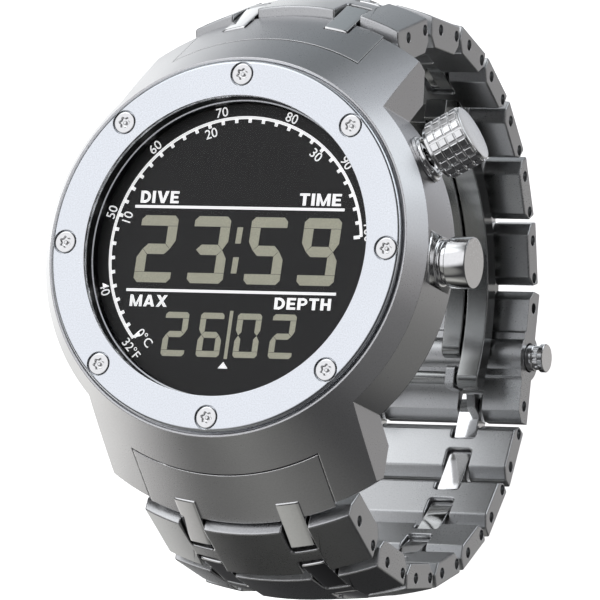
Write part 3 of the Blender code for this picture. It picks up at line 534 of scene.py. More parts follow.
# painted shade: the blades' steel colour is set far darker than the other steel so their sides read dark;
# the white edge colour is a painted highlight
DARKENED_BLADE_STEEL = steel(
    "blade_polished_steel_darkened", (0.36, 0.365, 0.36), 0.15, 6000.0, 0.03,
    edge=0.16, wear_and_highlight_colour=(1.0, 1.0, 1.0), shade=0.01,
)
DIAL_BLACK = coated("dial_black", (0.012, 0.0115, 0.0115), 0.35, 5000.0, 0.1, 0.35)
WALL_BLACK = coated("inner_wall_black", (0.006, 0.006, 0.007), 0.38, 3000.0, 0.05, 0.25)
WALL_LINE = steel("inner_wall_line", (0.50, 0.51, 0.53), 0.25, 5000.0, 0.1, edge=0.02)
RUBBER = coated("seal_rubber", (0.02, 0.02, 0.02), 0.75, 6000.0, 0.5)
BOARD = coated("board_green", (0.02, 0.13, 0.05), 0.45, 2500.0, 0.4)
GLOWING_PRINT = printed("print_white_glowing", (0.95, 0.95, 0.95), 0.7)
GLOWING_LCD = lcd_segment("lcd_segments_glowing", (0.42, 0.415, 0.325), 0.42)
LCD_GHOST = coated("lcd_unlit", (0.0150, 0.0145, 0.0140), 0.4, 5000.0, 0.1, 0.35)


# ---------------------------------------------------------------- case, bezel and dial

def cone_depth(radius):
    return CONE_DEPTH + (radius - CONE_RADIUS) / CONE_SLOPE


def round_column(name, radius):
    return lathe(name, [(radius, -2.0), (radius, 17.0)])


def radial(angle, distance):
    turn = math.radians(angle)
    return point(distance * math.cos(turn), distance * math.sin(turn), CONTROL_DEPTH)


def control_matrix(angle):
    """From a piece made along Z to a control's axis."""
    lay = Matrix.Rotation(math.radians(90.0), 4, "Y")
    swing = Matrix.Rotation(math.radians(angle), 4, "Z")
    return Matrix.Translation((0.0, 0.0, (TOP - CONTROL_DEPTH) * MM)) @ swing @ lay


def screw_places():
    for index in range(SCREW_COUNT):
        turn = math.radians(90.0 - index * 360.0 / SCREW_COUNT)
        yield SCREW_CIRCLE * math.cos(turn), SCREW_CIRCLE * math.sin(turn)


def make_case():
    rim = BEZEL_OUTER + 0.16
    profile = [
        (rim, CONE_DEPTH + 0.12),
        (rim + 0.12, CONE_DEPTH),
        (CONE_RADIUS, CONE_DEPTH),
        (LUG_TIP_RADIUS, cone_depth(LUG_TIP_RADIUS)),
        (LUG_TIP_RADIUS - 0.6, 14.2),
        (LUG_FOOT_RADIUS, LUG_FOOT_DEPTH),
        (WALL_RADIUS - 0.2, 11.0),
        (22.9, CASE_FLOOR),
        (CAVITY_RADIUS, CASE_FLOOR),
        (CAVITY_RADIUS, CAVITY_TOP),
        (BEZEL_INNER + 0.1, CAVITY_TOP),
        (BEZEL_INNER + 0.1, 3.0),
        (CRYSTAL_RADIUS + 0.2, 3.0),
        (CRYSTAL_RADIUS + 0.2, BEZEL_THICKNESS + 0.15),
        (rim, BEZEL_THICKNESS + 0.15),
    ]
    body = lathe("case_shell", profile, closed=True)
    for sign in (1, -1):
        trim = block("trim", point(sign * LUG_HALF_WIDTH, -33, 16), point(sign * 34, 33, -1))
        body = cut(body, cut(trim, round_column("wall", WALL_RADIUS)))
        width = END_LINK_HALF_WIDTH + PANEL_GAP
        slot = block("slot", point(-width, sign * 20, 16), point(width, sign * 34, -1))
        body = cut(body, cut(slot, round_column("slot_wall", END_LINK_RADIUS - PANEL_GAP)))
    for angle, room in ((CROWN_ANGLE, 2.7), (PUSHER_ANGLE, 2.7)):
        body = cut(body, rod("tube_room", room, radial(angle, 19.0), radial(angle, 30.0), MEDIUM))
        body = cut(body, rod("seat", 2.95, radial(angle, 23.62), radial(angle, 31.0), MEDIUM))
    tidy_mesh(body)
    piece(body, "case", "blasted_steel", CASE_STEEL, replaces=["case_body"])


def make_end_link(name, sign):
    profile = [
        (END_LINK_RADIUS, cone_depth(END_LINK_RADIUS)),
        (END_LINK_TIP_RADIUS, cone_depth(END_LINK_TIP_RADIUS)),
        (END_LINK_TIP_RADIUS - 0.6, 13.17),
        (26.6, 14.2),
        (END_LINK_RADIUS, 14.2),
    ]
    body = lathe(name + "_block", profile, closed=True)
    half = END_LINK_HALF_WIDTH
    envelope = block("width", point(-half, sign * 20, 16), point(half, sign * 34, 0))
    body = combine(body, envelope, "INTERSECT")
    pins = UPPER if sign > 0 else LOWER
    matrix = link_matrix(pins[0], pins[1], sign)
    for side in (1, -1):
        pocket = pocket_cutter(side, -POCKET_END, 8.0)
        pocket.data.transform(matrix)
        body = cut(body, pocket)
    tidy_mesh(body)
    piece(body, "case", "blasted_steel", CASE_STEEL, replaces=[name])


def make_bezel():
    profile = [
        (BEZEL_INNER, 0.10),
        (BEZEL_INNER + 0.03, 0.03),
        (BEZEL_INNER + 0.10, 0.0),
        (BEZEL_OUTER - 0.42, 0.0),
        (BEZEL_OUTER - 0.25, 0.04),
        (BEZEL_OUTER - 0.10, 0.16),
        (BEZEL_OUTER - 0.02, 0.34),
        (BEZEL_OUTER, 0.50),
        (BEZEL_OUTER, BEZEL_THICKNESS),
        (CRYSTAL_RADIUS + 0.1, BEZEL_THICKNESS),
        (CRYSTAL_RADIUS + 0.1, CRYSTAL_TOP - 0.1),
        (BEZEL_INNER, CRYSTAL_TOP - 0.1),
    ]
    ring = lathe("bezel", profile, closed=True)
    for x, y in screw_places():
        ring = cut(ring, rod("head_room", 1.42, point(x, y, 0.75), point(x, y, -1.0), SMALL))
    tidy_mesh(ring)
    piece(ring, "case", "satin_steel", BEZEL_STEEL, replaces=["bezel_ring"])


def lobes(radius, angle):
    return radius * (1.0 + 0.17 * math.cos(6.0 * angle))


def make_screws():
    steps = 72
    rings = [
        circle(0.75, -3.1, steps),
        circle(0.75, -0.45, steps),
        circle(1.27, -0.45, steps),
        circle(1.27, -0.12, steps),
        circle(1.24, -0.05, steps),
        circle(1.17, -0.01, steps),
        circle(1.05, 0.0, steps),
        circle(0.62, 0.0, steps, lobes),
        circle(0.58, -0.05, steps, lobes),
        circle(0.52, -0.34, steps, lobes),
        circle(0.26, -0.38, steps),
        circle(0.22, -0.22, steps),
        circle(0.16, -0.17, steps),
    ]
    for index, (x, y) in enumerate(screw_places()):
        turn = Matrix.Rotation(math.radians(17.0 + 23.0 * index), 4, "Z")
        matrix = Matrix.Translation(point(x, y, 0.04)) @ turn
        screw = loft("screw_%d" % (index + 1), rings, matrix)
        piece(screw, "case", "polished_steel", MIRROR, replaces=["bezel_screw_%d" % (index + 1)])


def make_glass():
    low = CRYSTAL_TOP + CRYSTAL_THICKNESS
    profile = [
        (CRYSTAL_RADIUS - 0.15, CRYSTAL_TOP),
        (CRYSTAL_RADIUS, CRYSTAL_TOP + 0.15),
        (CRYSTAL_RADIUS, low - 0.1),
        (CRYSTAL_RADIUS - 0.1, low),
    ]
    piece(lathe("crystal_disc", profile), "case", "crystal", crystal_glass(), replaces=["crystal"])


def make_dial():
    profile = [
        (DIAL_RADIUS, DIAL_DEPTH),
        (DIAL_RADIUS, 4.2),
        (20.2, 4.2),
        (20.2, 6.4),
    ]
    piece(
        lathe("display_stack", profile, MEDIUM * 2), "case", "dial_black", DIAL_BLACK,
        replaces=["display_module"],
    )
    wall = [
        (17.48, 0.95),
        (17.44, 2.05),
        (17.28, 2.10),
        (17.24, DIAL_DEPTH - 0.02),
        (17.55, DIAL_DEPTH - 0.02),
        (17.58, 0.95),
    ]
    piece(lathe("inner_wall", wall, closed=True), "case", "dial_black", WALL_BLACK)
    line = [(17.44, 2.03), (17.27, 2.08), (17.27, 2.14), (17.44, 2.14)]
    piece(lathe("inner_wall_line", line, closed=True), "case", "polished_steel", WALL_LINE)


def outline_mesh(bm, corners, height, thickness=0.015):
    """A thin printed patch: a flat polygon and its rim."""
    top = [bm.verts.new((x * MM, y * MM, (height + thickness) * MM)) for x, y in corners]
    low = [bm.verts.new((x * MM, y * MM, height * MM)) for x, y in corners]
    bm.faces.new(top)
    bm.faces.new(list(reversed(low)))
    for index in range(len(corners)):
        after = (index + 1) % len(corners)
        bm.faces.new((low[index], low[after], top[after], top[index]))


def bar(bm, left, right, bottom, top, height):
    outline_mesh(bm, [(left, bottom), (right, bottom), (right, top), (left, top)], height)


def polar(radius, degrees):
    turn = math.radians(degrees)
    return radius * math.cos(turn), radius * math.sin(turn)


STEM = 0.24


def bar_shape(x0, y0, x1, y1):
    return [(x0, y0), (x1, y0), (x1, y1), (x0, y1)]


def bow(cx, cy, outer_x, outer_y, start, end, stem=STEM, count=14):
    """A curved stroke about a centre, as quads."""
    shapes = []
    angles = [math.radians(start + (end - start) * k / count) for k in range(count + 1)]
    for first, second in zip(angles, angles[1:]):
        shapes.append([
            (cx + outer_x * math.cos(first), cy + outer_y * math.sin(first)),
            (cx + (outer_x - stem) * math.cos(first), cy + (outer_y - stem) * math.sin(first)),
            (cx + (outer_x - stem) * math.cos(second), cy + (outer_y - stem) * math.sin(second)),
            (cx + outer_x * math.cos(second), cy + outer_y * math.sin(second)),
        ])
    return shapes


# Letters are one unit high; each entry is its width and its strokes.
LETTERS = {
    "I": (0.24, [bar_shape(0, 0, 0.24, 1)]),
    "V": (0.92, [
        [(0, 1), (0.33, 0), (0.47, 0), (0.46, 0.30), (0.27, 1)],
        [(0.65, 1), (0.46, 0.30), (0.47, 0), (0.59, 0), (0.92, 1)],
    ]),
    "E": (0.66, [
        bar_shape(0, 0, 0.24, 1), bar_shape(0.24, 0, 0.66, 0.2), bar_shape(0.24, 0.4, 0.6, 0.6),
        bar_shape(0.24, 0.8, 0.66, 1),
    ]),
    "T": (0.72, [bar_shape(0, 0.8, 0.72, 1), bar_shape(0.24, 0, 0.48, 0.8)]),
    "H": (0.76, [
        bar_shape(0, 0, 0.24, 1), bar_shape(0.52, 0, 0.76, 1), bar_shape(0.24, 0.4, 0.52, 0.6),
    ]),
    "M": (0.98, [
        bar_shape(0, 0, 0.22, 1), bar_shape(0.76, 0, 0.98, 1),
        [(0.22, 1), (0.22, 0.56), (0.40, 0), (0.49, 0), (0.49, 0.24)],
        [(0.76, 1), (0.49, 0.24), (0.49, 0), (0.58, 0), (0.76, 0.56)],
    ]),
    "A": (0.90, [
        [(0, 0), (0.25, 0), (0.45, 0.70), (0.45, 1), (0.32, 1)],
        [(0.65, 0), (0.90, 0), (0.58, 1), (0.45, 1), (0.45, 0.70)],
        [(0.30, 0.18), (0.60, 0.18), (0.55, 0.36), (0.35, 0.36)],
    ]),
    "X": (0.90, [
        [(0, 0), (0.27, 0), (0.90, 1), (0.63, 1)],
        [(0.62, 0), (0.90, 0), (0.595, 0.47), (0.465, 0.26)],
        [(0, 1), (0.28, 1), (0.435, 0.75), (0.305, 0.53)],
    ]),
    "D": (0.78, [
        bar_shape(0, 0, 0.24, 1), bar_shape(0.24, 0.8, 0.36, 1), bar_shape(0.24, 0, 0.36, 0.2),
        *bow(0.33, 0.5, 0.45, 0.5, -90, 90, 0.22),
    ]),
    "P": (0.72, [
        bar_shape(0, 0, 0.24, 1), bar_shape(0.24, 0.8, 0.40, 1), bar_shape(0.24, 0.36, 0.40, 0.54),
        *bow(0.39, 0.68, 0.33, 0.32, -90, 90, 0.19),
    ]),
}
LETTER_GAP = 0.13


def print_word(bm, text, target):
    """A bold word fitted to a box: target is (left, bottom, right, top) in mm."""
    left, bottom, right, top = target
    width = sum(LETTERS[letter][0] for letter in text) + LETTER_GAP * (len(text) - 1)
    wide, tall = (right - left) / width, top - bottom
    start = 0.0
    for letter in text:
        for shape in LETTERS[letter][1]:
            corners = [(left + (start + x) * wide, bottom + y * tall) for x, y in shape]
            outline_mesh(bm, corners, TOP - DIAL_DEPTH + 0.02)
        start += LETTERS[letter][0] + LETTER_GAP


def print_label(bm, text, place, turn):
    """A small scale number, turned to its place on the arc."""
    curve = bpy.data.curves.new("label", "FONT")
    curve.body = text
    curve.size = 1.0
    curve.offset = 0.002
    curve.resolution_u = 5
    obj = add("label", curve)
    depsgraph = bpy.context.evaluated_depsgraph_get()
    depsgraph.update()
    mesh = bpy.data.meshes.new_from_object(obj.evaluated_get(depsgraph))
    bpy.data.objects.remove(obj, do_unlink=True)
    low = [min(v.co[axis] for v in mesh.vertices) for axis in range(2)]
    high = [max(v.co[axis] for v in mesh.vertices) for axis in range(2)]
    tall = LABEL_HEIGHT / (high[1] - low[1])
    mesh.transform(
        Matrix.Translation((place[0] * MM, place[1] * MM, (TOP - DIAL_DEPTH + 0.02) * MM))
        @ Matrix.Rotation(math.radians(turn), 4, "Z")
        @ Matrix.Diagonal((tall * MM, tall * MM, MM, 1.0))
        @ Matrix.Translation((-(low[0] + high[0]) / 2, -(low[1] + high[1]) / 2, 0.0))
    )
    start = len(bm.faces)
    bm.from_mesh(mesh)
    bm.faces.ensure_lookup_table()
    raised = bmesh.ops.extrude_face_region(bm, geom=bm.faces[start:])
    corners = [item for item in raised["geom"] if isinstance(item, bmesh.types.BMVert)]
    bmesh.ops.translate(bm, verts=corners, vec=(0.0, 0.0, 0.015 * MM))


SCALE_START = 222.0
SCALE_END = 7.0
SCALE_TICKS = 35


def make_scale(bm, height):
    """The round scale: an arc with its tick marks."""
    steps = 150
    inner, outer = 15.43, 15.78
    angles = [SCALE_START + (SCALE_END - SCALE_START) * index / steps for index in range(steps + 1)]
    for first, second in zip(angles, angles[1:]):
        corners = [polar(outer, first), polar(inner, first), polar(inner, second), polar(outer, second)]
        outline_mesh(bm, corners, height)
    for index in range(SCALE_TICKS):
        angle = SCALE_START + (SCALE_END - SCALE_START) * index / (SCALE_TICKS - 1)
        reach = 0.75 if index in (0, SCALE_TICKS - 1) else 0.42
        turn = math.radians(angle)
        out = Vector((math.cos(turn), math.sin(turn)))
        side = Vector((-out.y, out.x)) * 0.2
        corners = [
            out * (inner + 0.02) + side,
            out * (inner - reach) + side,
            out * (inner - reach) - side,
            out * (inner + 0.02) - side,
        ]
        outline_mesh(bm, corners, height)


OUTER_LABELS = (
    ("40", 196.8), ("50", 165.0), ("60", 133.5), ("70", 101.9), ("80", 70.9), ("90", 39.4), ("100", 8.3),
)
INNER_LABELS = (("10", 165.0), ("20", 108.2), ("30", 51.9))
LABEL_HEIGHT = 1.12


def make_print():
    height = TOP - DIAL_DEPTH + 0.02
    bm = bmesh.new()
    make_scale(bm, height)
    bar(bm, -13.1, 13.1, 4.83, 5.16, height)
    bar(bm, -13.1, 13.1, -4.96, -4.63, height)
    outline_mesh(bm, [(-0.62, -13.72), (0.62, -13.72), (0.0, -12.95)], height)
    print_word(bm, "DIVE", (-12.5, 5.42, -7.7, 6.84))
    print_word(bm, "TIME", (7.4, 5.42, 12.6, 6.84))
    print_word(bm, "MAX", (-12.5, -6.71, -7.8, -5.35))
    print_word(bm, "DEPTH", (5.6, -6.71, 12.6, -5.35))
    for text, angle in OUTER_LABELS:
        turn = angle - 90.0 if angle < 180.0 else angle + 90.0
        print_label(bm, text, polar(16.52, angle), turn)
    for text, angle in INNER_LABELS:
        print_label(bm, text, polar(14.4, angle), angle - 90.0)
    print_label(bm, "0°C", polar(14.5, 225.7), -47.0)
    print_label(bm, "32°F", polar(16.5, 225.0), -47.0)
    bmesh.ops.recalc_face_normals(bm, faces=bm.faces)
    piece(from_bmesh("dial_print", bm), "case", "dial_black", GLOWING_PRINT)


def digit_segments(width, height, thick):
    """The seven segments of a digit, each as a polygon in its own cell."""
    half = height / 2.0
    notch = 0.78 * thick
    inset = 0.5 * thick
    chamfer = 0.38 * thick
    return {
        "a": [(0, height - thick), (width, height - thick), (width, height - chamfer),
              (width - chamfer, height), (chamfer, height), (0, height - chamfer)],
        "b": [(width - thick, height - thick), (width - thick, half + thick / 2), (width - inset, half),
              (width, half + notch), (width, height - thick)],
        "c": [(width - thick, thick), (width, thick), (width, half - notch), (width - inset, half),
              (width - thick, half - thick / 2)],
        "d": [(0, thick), (0, chamfer), (chamfer, 0), (width - chamfer, 0), (width, chamfer),
              (width, thick)],
        "e": [(0, thick), (thick, thick), (thick, half - thick / 2), (inset, half), (0, half - notch)],
        "f": [(0, height - thick), (0, half + notch), (inset, half), (thick, half + thick / 2),
              (thick, height - thick)],
        "g": [(inset, half), (thick, half - thick / 2), (width - thick, half - thick / 2),
              (width - inset, half), (width - thick, half + thick / 2), (thick, half + thick / 2)],
    }


DIGITS = {
    "0": "abcdef", "2": "abged", "3": "abgcd", "5": "afgcd", "6": "afgedc", "8": "abcdefg", "9": "abcdfg",
}


DIGIT_SLANT = 0.045
SEGMENT_JOINT = 0.022


def draw_digit(bm, digit, left, right, bottom, top, thick, height):
    width, tall = right - left, top - bottom
    lean = DIGIT_SLANT * tall
    segments = digit_segments(width - lean, tall, thick)
    for letter in DIGITS[digit]:
        corners = segments[letter]
        centre = Vector((sum(x for x, y in corners), sum(y for x, y in corners))) / len(corners)
        drawn = []
        for x, y in corners:
            offset = Vector((x, y)) - centre
            x, y = centre + offset - Vector((
                math.copysign(min(SEGMENT_JOINT, abs(offset.x)), offset.x),
                math.copysign(min(SEGMENT_JOINT, abs(offset.y)), offset.y),
            ))
            drawn.append((left + x + DIGIT_SLANT * y, bottom + y))
        outline_mesh(bm, drawn, height)


BIG_COLUMNS = ((-12.4, -7.4), (-5.7, -0.8), (1.4, 6.3), (8.0, 13.0))
SMALL_COLUMNS = ((-8.0, -4.8), (-3.6, -0.4), (1.0, 4.3), (5.4, 8.6))


def make_lcd():
    height = TOP - DIAL_DEPTH + 0.01
    bm = bmesh.new()
    for digit, (left, right) in zip("2359", BIG_COLUMNS):
        draw_digit(bm, digit, left, right, -3.9, 4.0, 1.25, height)
    for digit, (left, right) in zip("2602", SMALL_COLUMNS):
        draw_digit(bm, digit, left, right, -12.45, -7.25, 0.75, height)
    for bottom, top in ((0.85, 2.75), (-2.65, -0.75)):
        lean = DIGIT_SLANT * bottom
        outline_mesh(
            bm,
            [(-0.12 + lean, bottom), (0.58 + lean, bottom), (0.62 + DIGIT_SLANT * top, top),
             (-0.08 + DIGIT_SLANT * top, top)],
            height,
        )
    outline_mesh(bm, [(-0.02, -12.6), (0.4, -12.6), (0.62, -7.0), (0.2, -7.0)], height)
    bmesh.ops.recalc_face_normals(bm, faces=bm.faces)
    piece(from_bmesh("lcd_digits", bm), "case", "dial_black", GLOWING_LCD)
    ghost = bmesh.new()
    for left, right in ((-7.6, -4.6), (-3.8, -0.8), (1.8, 4.8), (5.6, 8.6)):
        draw_digit(ghost, "8", left, right, 8.2, 13.0, 0.8, height)
    outline_mesh(ghost, [(0.2, 7.9), (0.6, 7.9), (0.9, 13.3), (0.5, 13.3)], height)
    bmesh.ops.recalc_face_normals(ghost, faces=ghost.faces)
    piece(from_bmesh("lcd_unlit_digits", ghost), "case", "dial_black", LCD_GHOST)


def make_caseback():
    profile = [
        (CAVITY_RADIUS - 0.3, 11.8),
        (CAVITY_RADIUS - 0.3, CASE_FLOOR + 0.15),
        (22.75, CASE_FLOOR + 0.15),
        (22.75, TOP - 0.45),
        (22.65, TOP - 0.2),
        (22.35, TOP),
        (18.3, TOP),
        (18.15, TOP - 0.22),
        (17.75, TOP - 0.22),
        (17.6, TOP),
        (10.2, TOP),
        (10.1, TOP - 0.12),
        (9.8, TOP - 0.12),
        (9.7, TOP),
    ]
    back = lathe("back_plate", profile)
    for index in range(4):
        x = -2.25 + 1.5 * index
        back = cut(back, rod("port", 0.5, point(x, -14.0, 12.4), point(x, -14.0, 15.0), SMALL))
    for index in range(6):
        x, y = polar(20.6, 60.0 * index)
        back = cut(back, rod("notch", 1.0, point(x, y, TOP - 0.6), point(x, y, 15.0), SMALL))
    tidy_mesh(back)
    piece(back, "case", "satin_steel", BACK_STEEL, replaces=["caseback"])


# ---------------------------------------------------------------- crown and pusher

def make_collar(name, angle, node):
    profile = [
        (1.25, 21.3),
        (2.1, 21.3),
        (2.1, 23.7),
        (2.8, 23.7),
        (2.88, 23.78),
        (2.88, 24.08),
        (2.8, 24.16),
        (2.62, 24.18),
        (2.55, 24.24),
        (2.55, 24.52),
        (2.48, 24.6),
        (2.3, 24.6),
        (2.3, 24.3),
        (1.25, 24.3),
    ]
    ring = turned(name, profile, MEDIUM, control_matrix(angle), closed=True)
    piece(ring, "case", "polished_steel", MIRROR, replaces=[node])


def make_pusher():
    profile = [
        (0.9, 20.9),
        (0.9, 24.7),
        (2.55, 24.7),
        (2.6, 24.75),
        (2.6, 25.2),
        (2.85, 25.25),
        (2.95, 25.36),
        (2.95, 27.74),
        (2.90, 27.85),
        (2.80, 27.9),
    ]
    button = turned("pusher_button", profile, FINE, control_matrix(PUSHER_ANGLE))
    obj = piece(button, "pusher", "polished_steel", MIRROR, SATIN_END, replaces=["pusher"])
    axis = Vector((1.0, 0.0, 0.0))
    paint_end(obj, axis, 27.89)


def paint_end(obj, axis, distance):
    """Gives the faces beyond a distance along an axis the piece's second material."""
    for face in obj.data.polygons:
        if all(obj.data.vertices[v].co.dot(axis) > distance * MM for v in face.vertices):
            face.material_index = 1


CROWN_BLOCKS = 18
CROWN_TOP = 3.5
CROWN_GROOVE = 3.2
CROWN_SHARE = (0.0, 0.10, 0.155, 0.20, 0.80, 0.845, 0.90)


def crown_ring(height, depth_share):
    """One ring of the grip: the blocks stand depth_share of the way out of the grooves."""
    ring = []
    for index in range(CROWN_BLOCKS):
        for share in CROWN_SHARE:
            angle = 2.0 * math.pi * (index + share) / CROWN_BLOCKS
            lift = {0.0: 0.0, 0.10: 0.0, 0.155: 0.85, 0.20: 1.0, 0.80: 1.0, 0.845: 0.85, 0.90: 0.0}[share]
            radius = CROWN_GROOVE + (CROWN_TOP - CROWN_GROOVE) * lift * depth_share
            ring.append((radius * math.cos(angle) * MM, radius * math.sin(angle) * MM, height * MM))
    return ring


def plain_crown_ring(radius, height):
    ring = []
    for index in range(CROWN_BLOCKS):
        for share in CROWN_SHARE:
            angle = 2.0 * math.pi * (index + share) / CROWN_BLOCKS
            ring.append((radius * math.cos(angle) * MM, radius * math.sin(angle) * MM, height * MM))
    return ring


def make_crown():
    start, end = 25.25, 30.4
    rings = [
        plain_crown_ring(1.2, 27.9),
        plain_crown_ring(1.2, start),
        plain_crown_ring(2.95, start),
        plain_crown_ring(3.1, start + 0.1),
        plain_crown_ring(3.12, start + 0.42),
        plain_crown_ring(CROWN_GROOVE - 0.02, start + 0.47),
    ]
    first = start + 0.5
    last = end - 0.42
    pitch = (last - first) / 4.0
    for row in range(4):
        low = first + row * pitch
        high = low + pitch
        rings += [
            crown_ring(low + 0.05, 0.0),
            crown_ring(low + 0.09, 0.85),
            crown_ring(low + 0.14, 1.0),
            crown_ring(high - 0.14, 1.0),
            crown_ring(high - 0.09, 0.85),
            crown_ring(high - 0.05, 0.0),
        ]
    rings += [
        plain_crown_ring(CROWN_GROOVE, last + 0.04),
        plain_crown_ring(3.30, last + 0.10),
        plain_crown_ring(3.33, end - 0.22),
        plain_crown_ring(3.22, end - 0.12),
        plain_crown_ring(3.0, end - 0.08),
        plain_crown_ring(2.0, end - 0.02),
        plain_crown_ring(0.9, end),
    ]
    knob = loft("crown_grip", rings, control_matrix(CROWN_ANGLE))
    obj = piece(knob, "crown", "polished_steel", MIRROR, SATIN_END, replaces=["crown_knob"])
    turn = math.radians(CROWN_ANGLE)
    paint_end(obj, Vector((math.cos(turn), math.sin(turn), 0.0)), end - 0.13)


# ---------------------------------------------------------------- bracelet

def joint_place(name):
    return Vector(JOINTS[name]["pos_m"])


def chain_pins(letter, last):
    """The pins of one side, in order; the first upper connector turns on the leading joint."""
    pins = []
    for index in range(1, 8):
        first = "hinge_connector_%s%d" % (letter, index)
        if first not in JOINTS:
            first = "bracelet_unfold"
        pins.append(joint_place(first))
        pins.append(joint_place("hinge_link_%s%d" % (letter, index)))
    return pins + [joint_place(name) if isinstance(name, str) else name for name in last]


LOWER = chain_pins("l", ["hinge_connector_l8", "hinge_clasp_cover"])
MIRRORED = Vector((LOWER[-1].x, -LOWER[-1].y, LOWER[-1].z))
UPPER = chain_pins("u", ["clasp_unfold", MIRRORED])


def link_matrix(first, second, sign):
    """From (across, along, outward) at the first pin to the object's frame."""
    along = (second - first).normalized()
    outward = Vector((0.0, -sign * along.z, sign * along.y))
    across = Vector((1.0, 0.0, 0.0))
    matrix = Matrix.Identity(4)
    for row in range(3):
        matrix[row][0] = across[row]
        matrix[row][1] = along[row]
        matrix[row][2] = outward[row]
        matrix[row][3] = first[row]
    return matrix


CROWN_STATIONS = (0.0, 1.6, 3.2, POCKET_LOW, 6.4, POCKET_HIGH, 9.2, 10.4, 11.6, BAND_HALF_WIDTH)


def crown_height(crown, across):
    half = BAND_HALF_WIDTH
    radius = (half * half + crown * crown) / (2.0 * crown)
    return LINK_OUTER_HEIGHT + crown - radius + math.sqrt(radius * radius - across * across)


def crown_bar(crown, length):
    """A bar whose top is a shallow arc across the band, along the link."""
    stations = [-a for a in reversed(CROWN_STATIONS)] + list(CROWN_STATIONS[1:])
    outline = [(a, crown_height(crown, a)) for a in stations]
    outline += [(BAND_HALF_WIDTH, -6.0), (-BAND_HALF_WIDTH, -6.0)]
    rings = []
    for s in (-6.0, length):
        rings.append([(a * MM, s * MM, t * MM) for a, t in outline])
    return loft("crown_bar", rings)


def round_hole(centre, radius, count=28):
    loop = []
    for index in range(count):
        angle = 2.0 * math.pi * index / count
        loop.append((centre + radius * math.cos(angle), radius * math.sin(angle)))
    return loop


def make_link(letter, index, sign):
    pins = UPPER if sign > 0 else LOWER
    near_pin, far_pin = pins[2 * index + 1], pins[2 * index + 2]
    pitch = (far_pin - near_pin).length / MM
    near = -LINK_NEAR_MARGINS[index]
    far = pitch + LINK_FAR_MARGIN
    inner = -LINK_INNER_HEIGHTS[index]
    outer = LINK_OUTER_HEIGHT + LINK_CROWNS[index] + 1.0
    lean = FIRST_LINK_LEAN if index == 0 else 0.0
    heel = -0.2 if index == 0 else inner + INNER_CHAMFER
    outline = [
        (near + lean * outer, outer),
        (near, heel),
        (near + INNER_CHAMFER, inner),
        (far - INNER_CHAMFER, inner),
        (far, inner + INNER_CHAMFER),
        (far, outer),
    ]
    name = "link_body_%s%d" % (letter, index + 1)
    reach = BAND_HALF_WIDTH + 1.0
    body = prism(name, [outline], -reach, reach)
    body = combine(body, crown_bar(LINK_CROWNS[index], pitch + 6.0), "INTERSECT")
    for side in (1, -1):
        for start, end in ((-6.0, POCKET_END), (pitch - POCKET_END, pitch + 5.0)):
            body = cut(body, pocket_cutter(side, start, end))
    # the bevel faces take the second material, a painted highlight on the polished edges
    body = bevelled(body, 0.2, 3, edge_material=1)
    for place in (0.0, pitch):
        hole = prism("hole", [round_hole(0.0, PIN_HOLE)], -reach, reach)
        hole.data.transform(Matrix.Translation((0.0, place * MM, 0.0)))
        body = cut(body, hole)
    piece(
        body, "link_%s%d" % (letter, index + 1), "blasted_steel", LINK_STEEL, EDGE_HIGHLIGHT_STEEL,
        replaces=["link_%s%d" % (letter, index + 1)], sharp=40.0,
        matrix=link_matrix(near_pin, far_pin, sign),
    )


def rounded_loop(corners, radius, steps=5):
    """The same polygon with its corners rounded."""
    loop = []
    count = len(corners)
    for index in range(count):
        here = Vector(corners[index])
        before = (Vector(corners[index - 1]) - here).normalized()
        after = (Vector(corners[(index + 1) % count]) - here).normalized()
        half = before.angle(after) / 2.0
        reach = radius / math.tan(half)
        centre = here + (before + after).normalized() * (radius / math.sin(half))
        start = here + before * reach - centre
        end = here + after * reach - centre
        for step in range(steps + 1):
            share = step / steps
            mixed = start.lerp(end, share).normalized() * radius
            loop.append(tuple(centre + mixed))
    return loop


def plate_top(crown, across):
    """The plates lie a little below the links' crowned surface."""
    return crown_height(crown, across) - PLATE_RECESS


def crowned_plate(side, pitch, crowns, heel):
    """One plate: its outline is skinned across so that its top follows both links' crowns."""
    low = across_span(side, PLATE_LOW, PLATE_HIGH)[0]
    rings = []
    for index in range(7):
        across = low + (PLATE_HIGH - PLATE_LOW) * index / 6.0
        near, far = plate_top(crowns[0], across), plate_top(crowns[1], across)
        corners = [(-PLATE_END, near), (-PLATE_END, -PLATE_HEIGHT)]
        if heel:
            corners = [(-PLATE_END, near), (-PLATE_END, -0.2), (0.35, -PLATE_HEIGHT)]
        corners += [(pitch + PLATE_END, -PLATE_HEIGHT), (pitch + PLATE_END, far)]
        loop = rounded_loop(corners, 0.25, 4)
        rings.append([(across * MM, s * MM, t * MM) for s, t in loop])
    return bevelled(loft("plate", rings), 0.10, 2, 40.0)


def connector_pieces(name, first, second, sign, crowns, heel, reach):
    """Two plates and their pins, as one mesh in the object's frame."""
    pitch = (second - first).length / MM
    parts = [crowned_plate(side, pitch, crowns, heel) for side in (1, -1)]
    for place, length in ((0.0, reach), (pitch, PIN_REACH)):
        start = Vector((-length, place, 0.0)) * MM
        end = Vector((length, place, 0.0)) * MM
        parts.append(rod("pin", PIN_RADIUS, start, end, 24, dome=0.12))
    body = merged(name, parts)
    body.data.transform(link_matrix(first, second, sign))
    return body


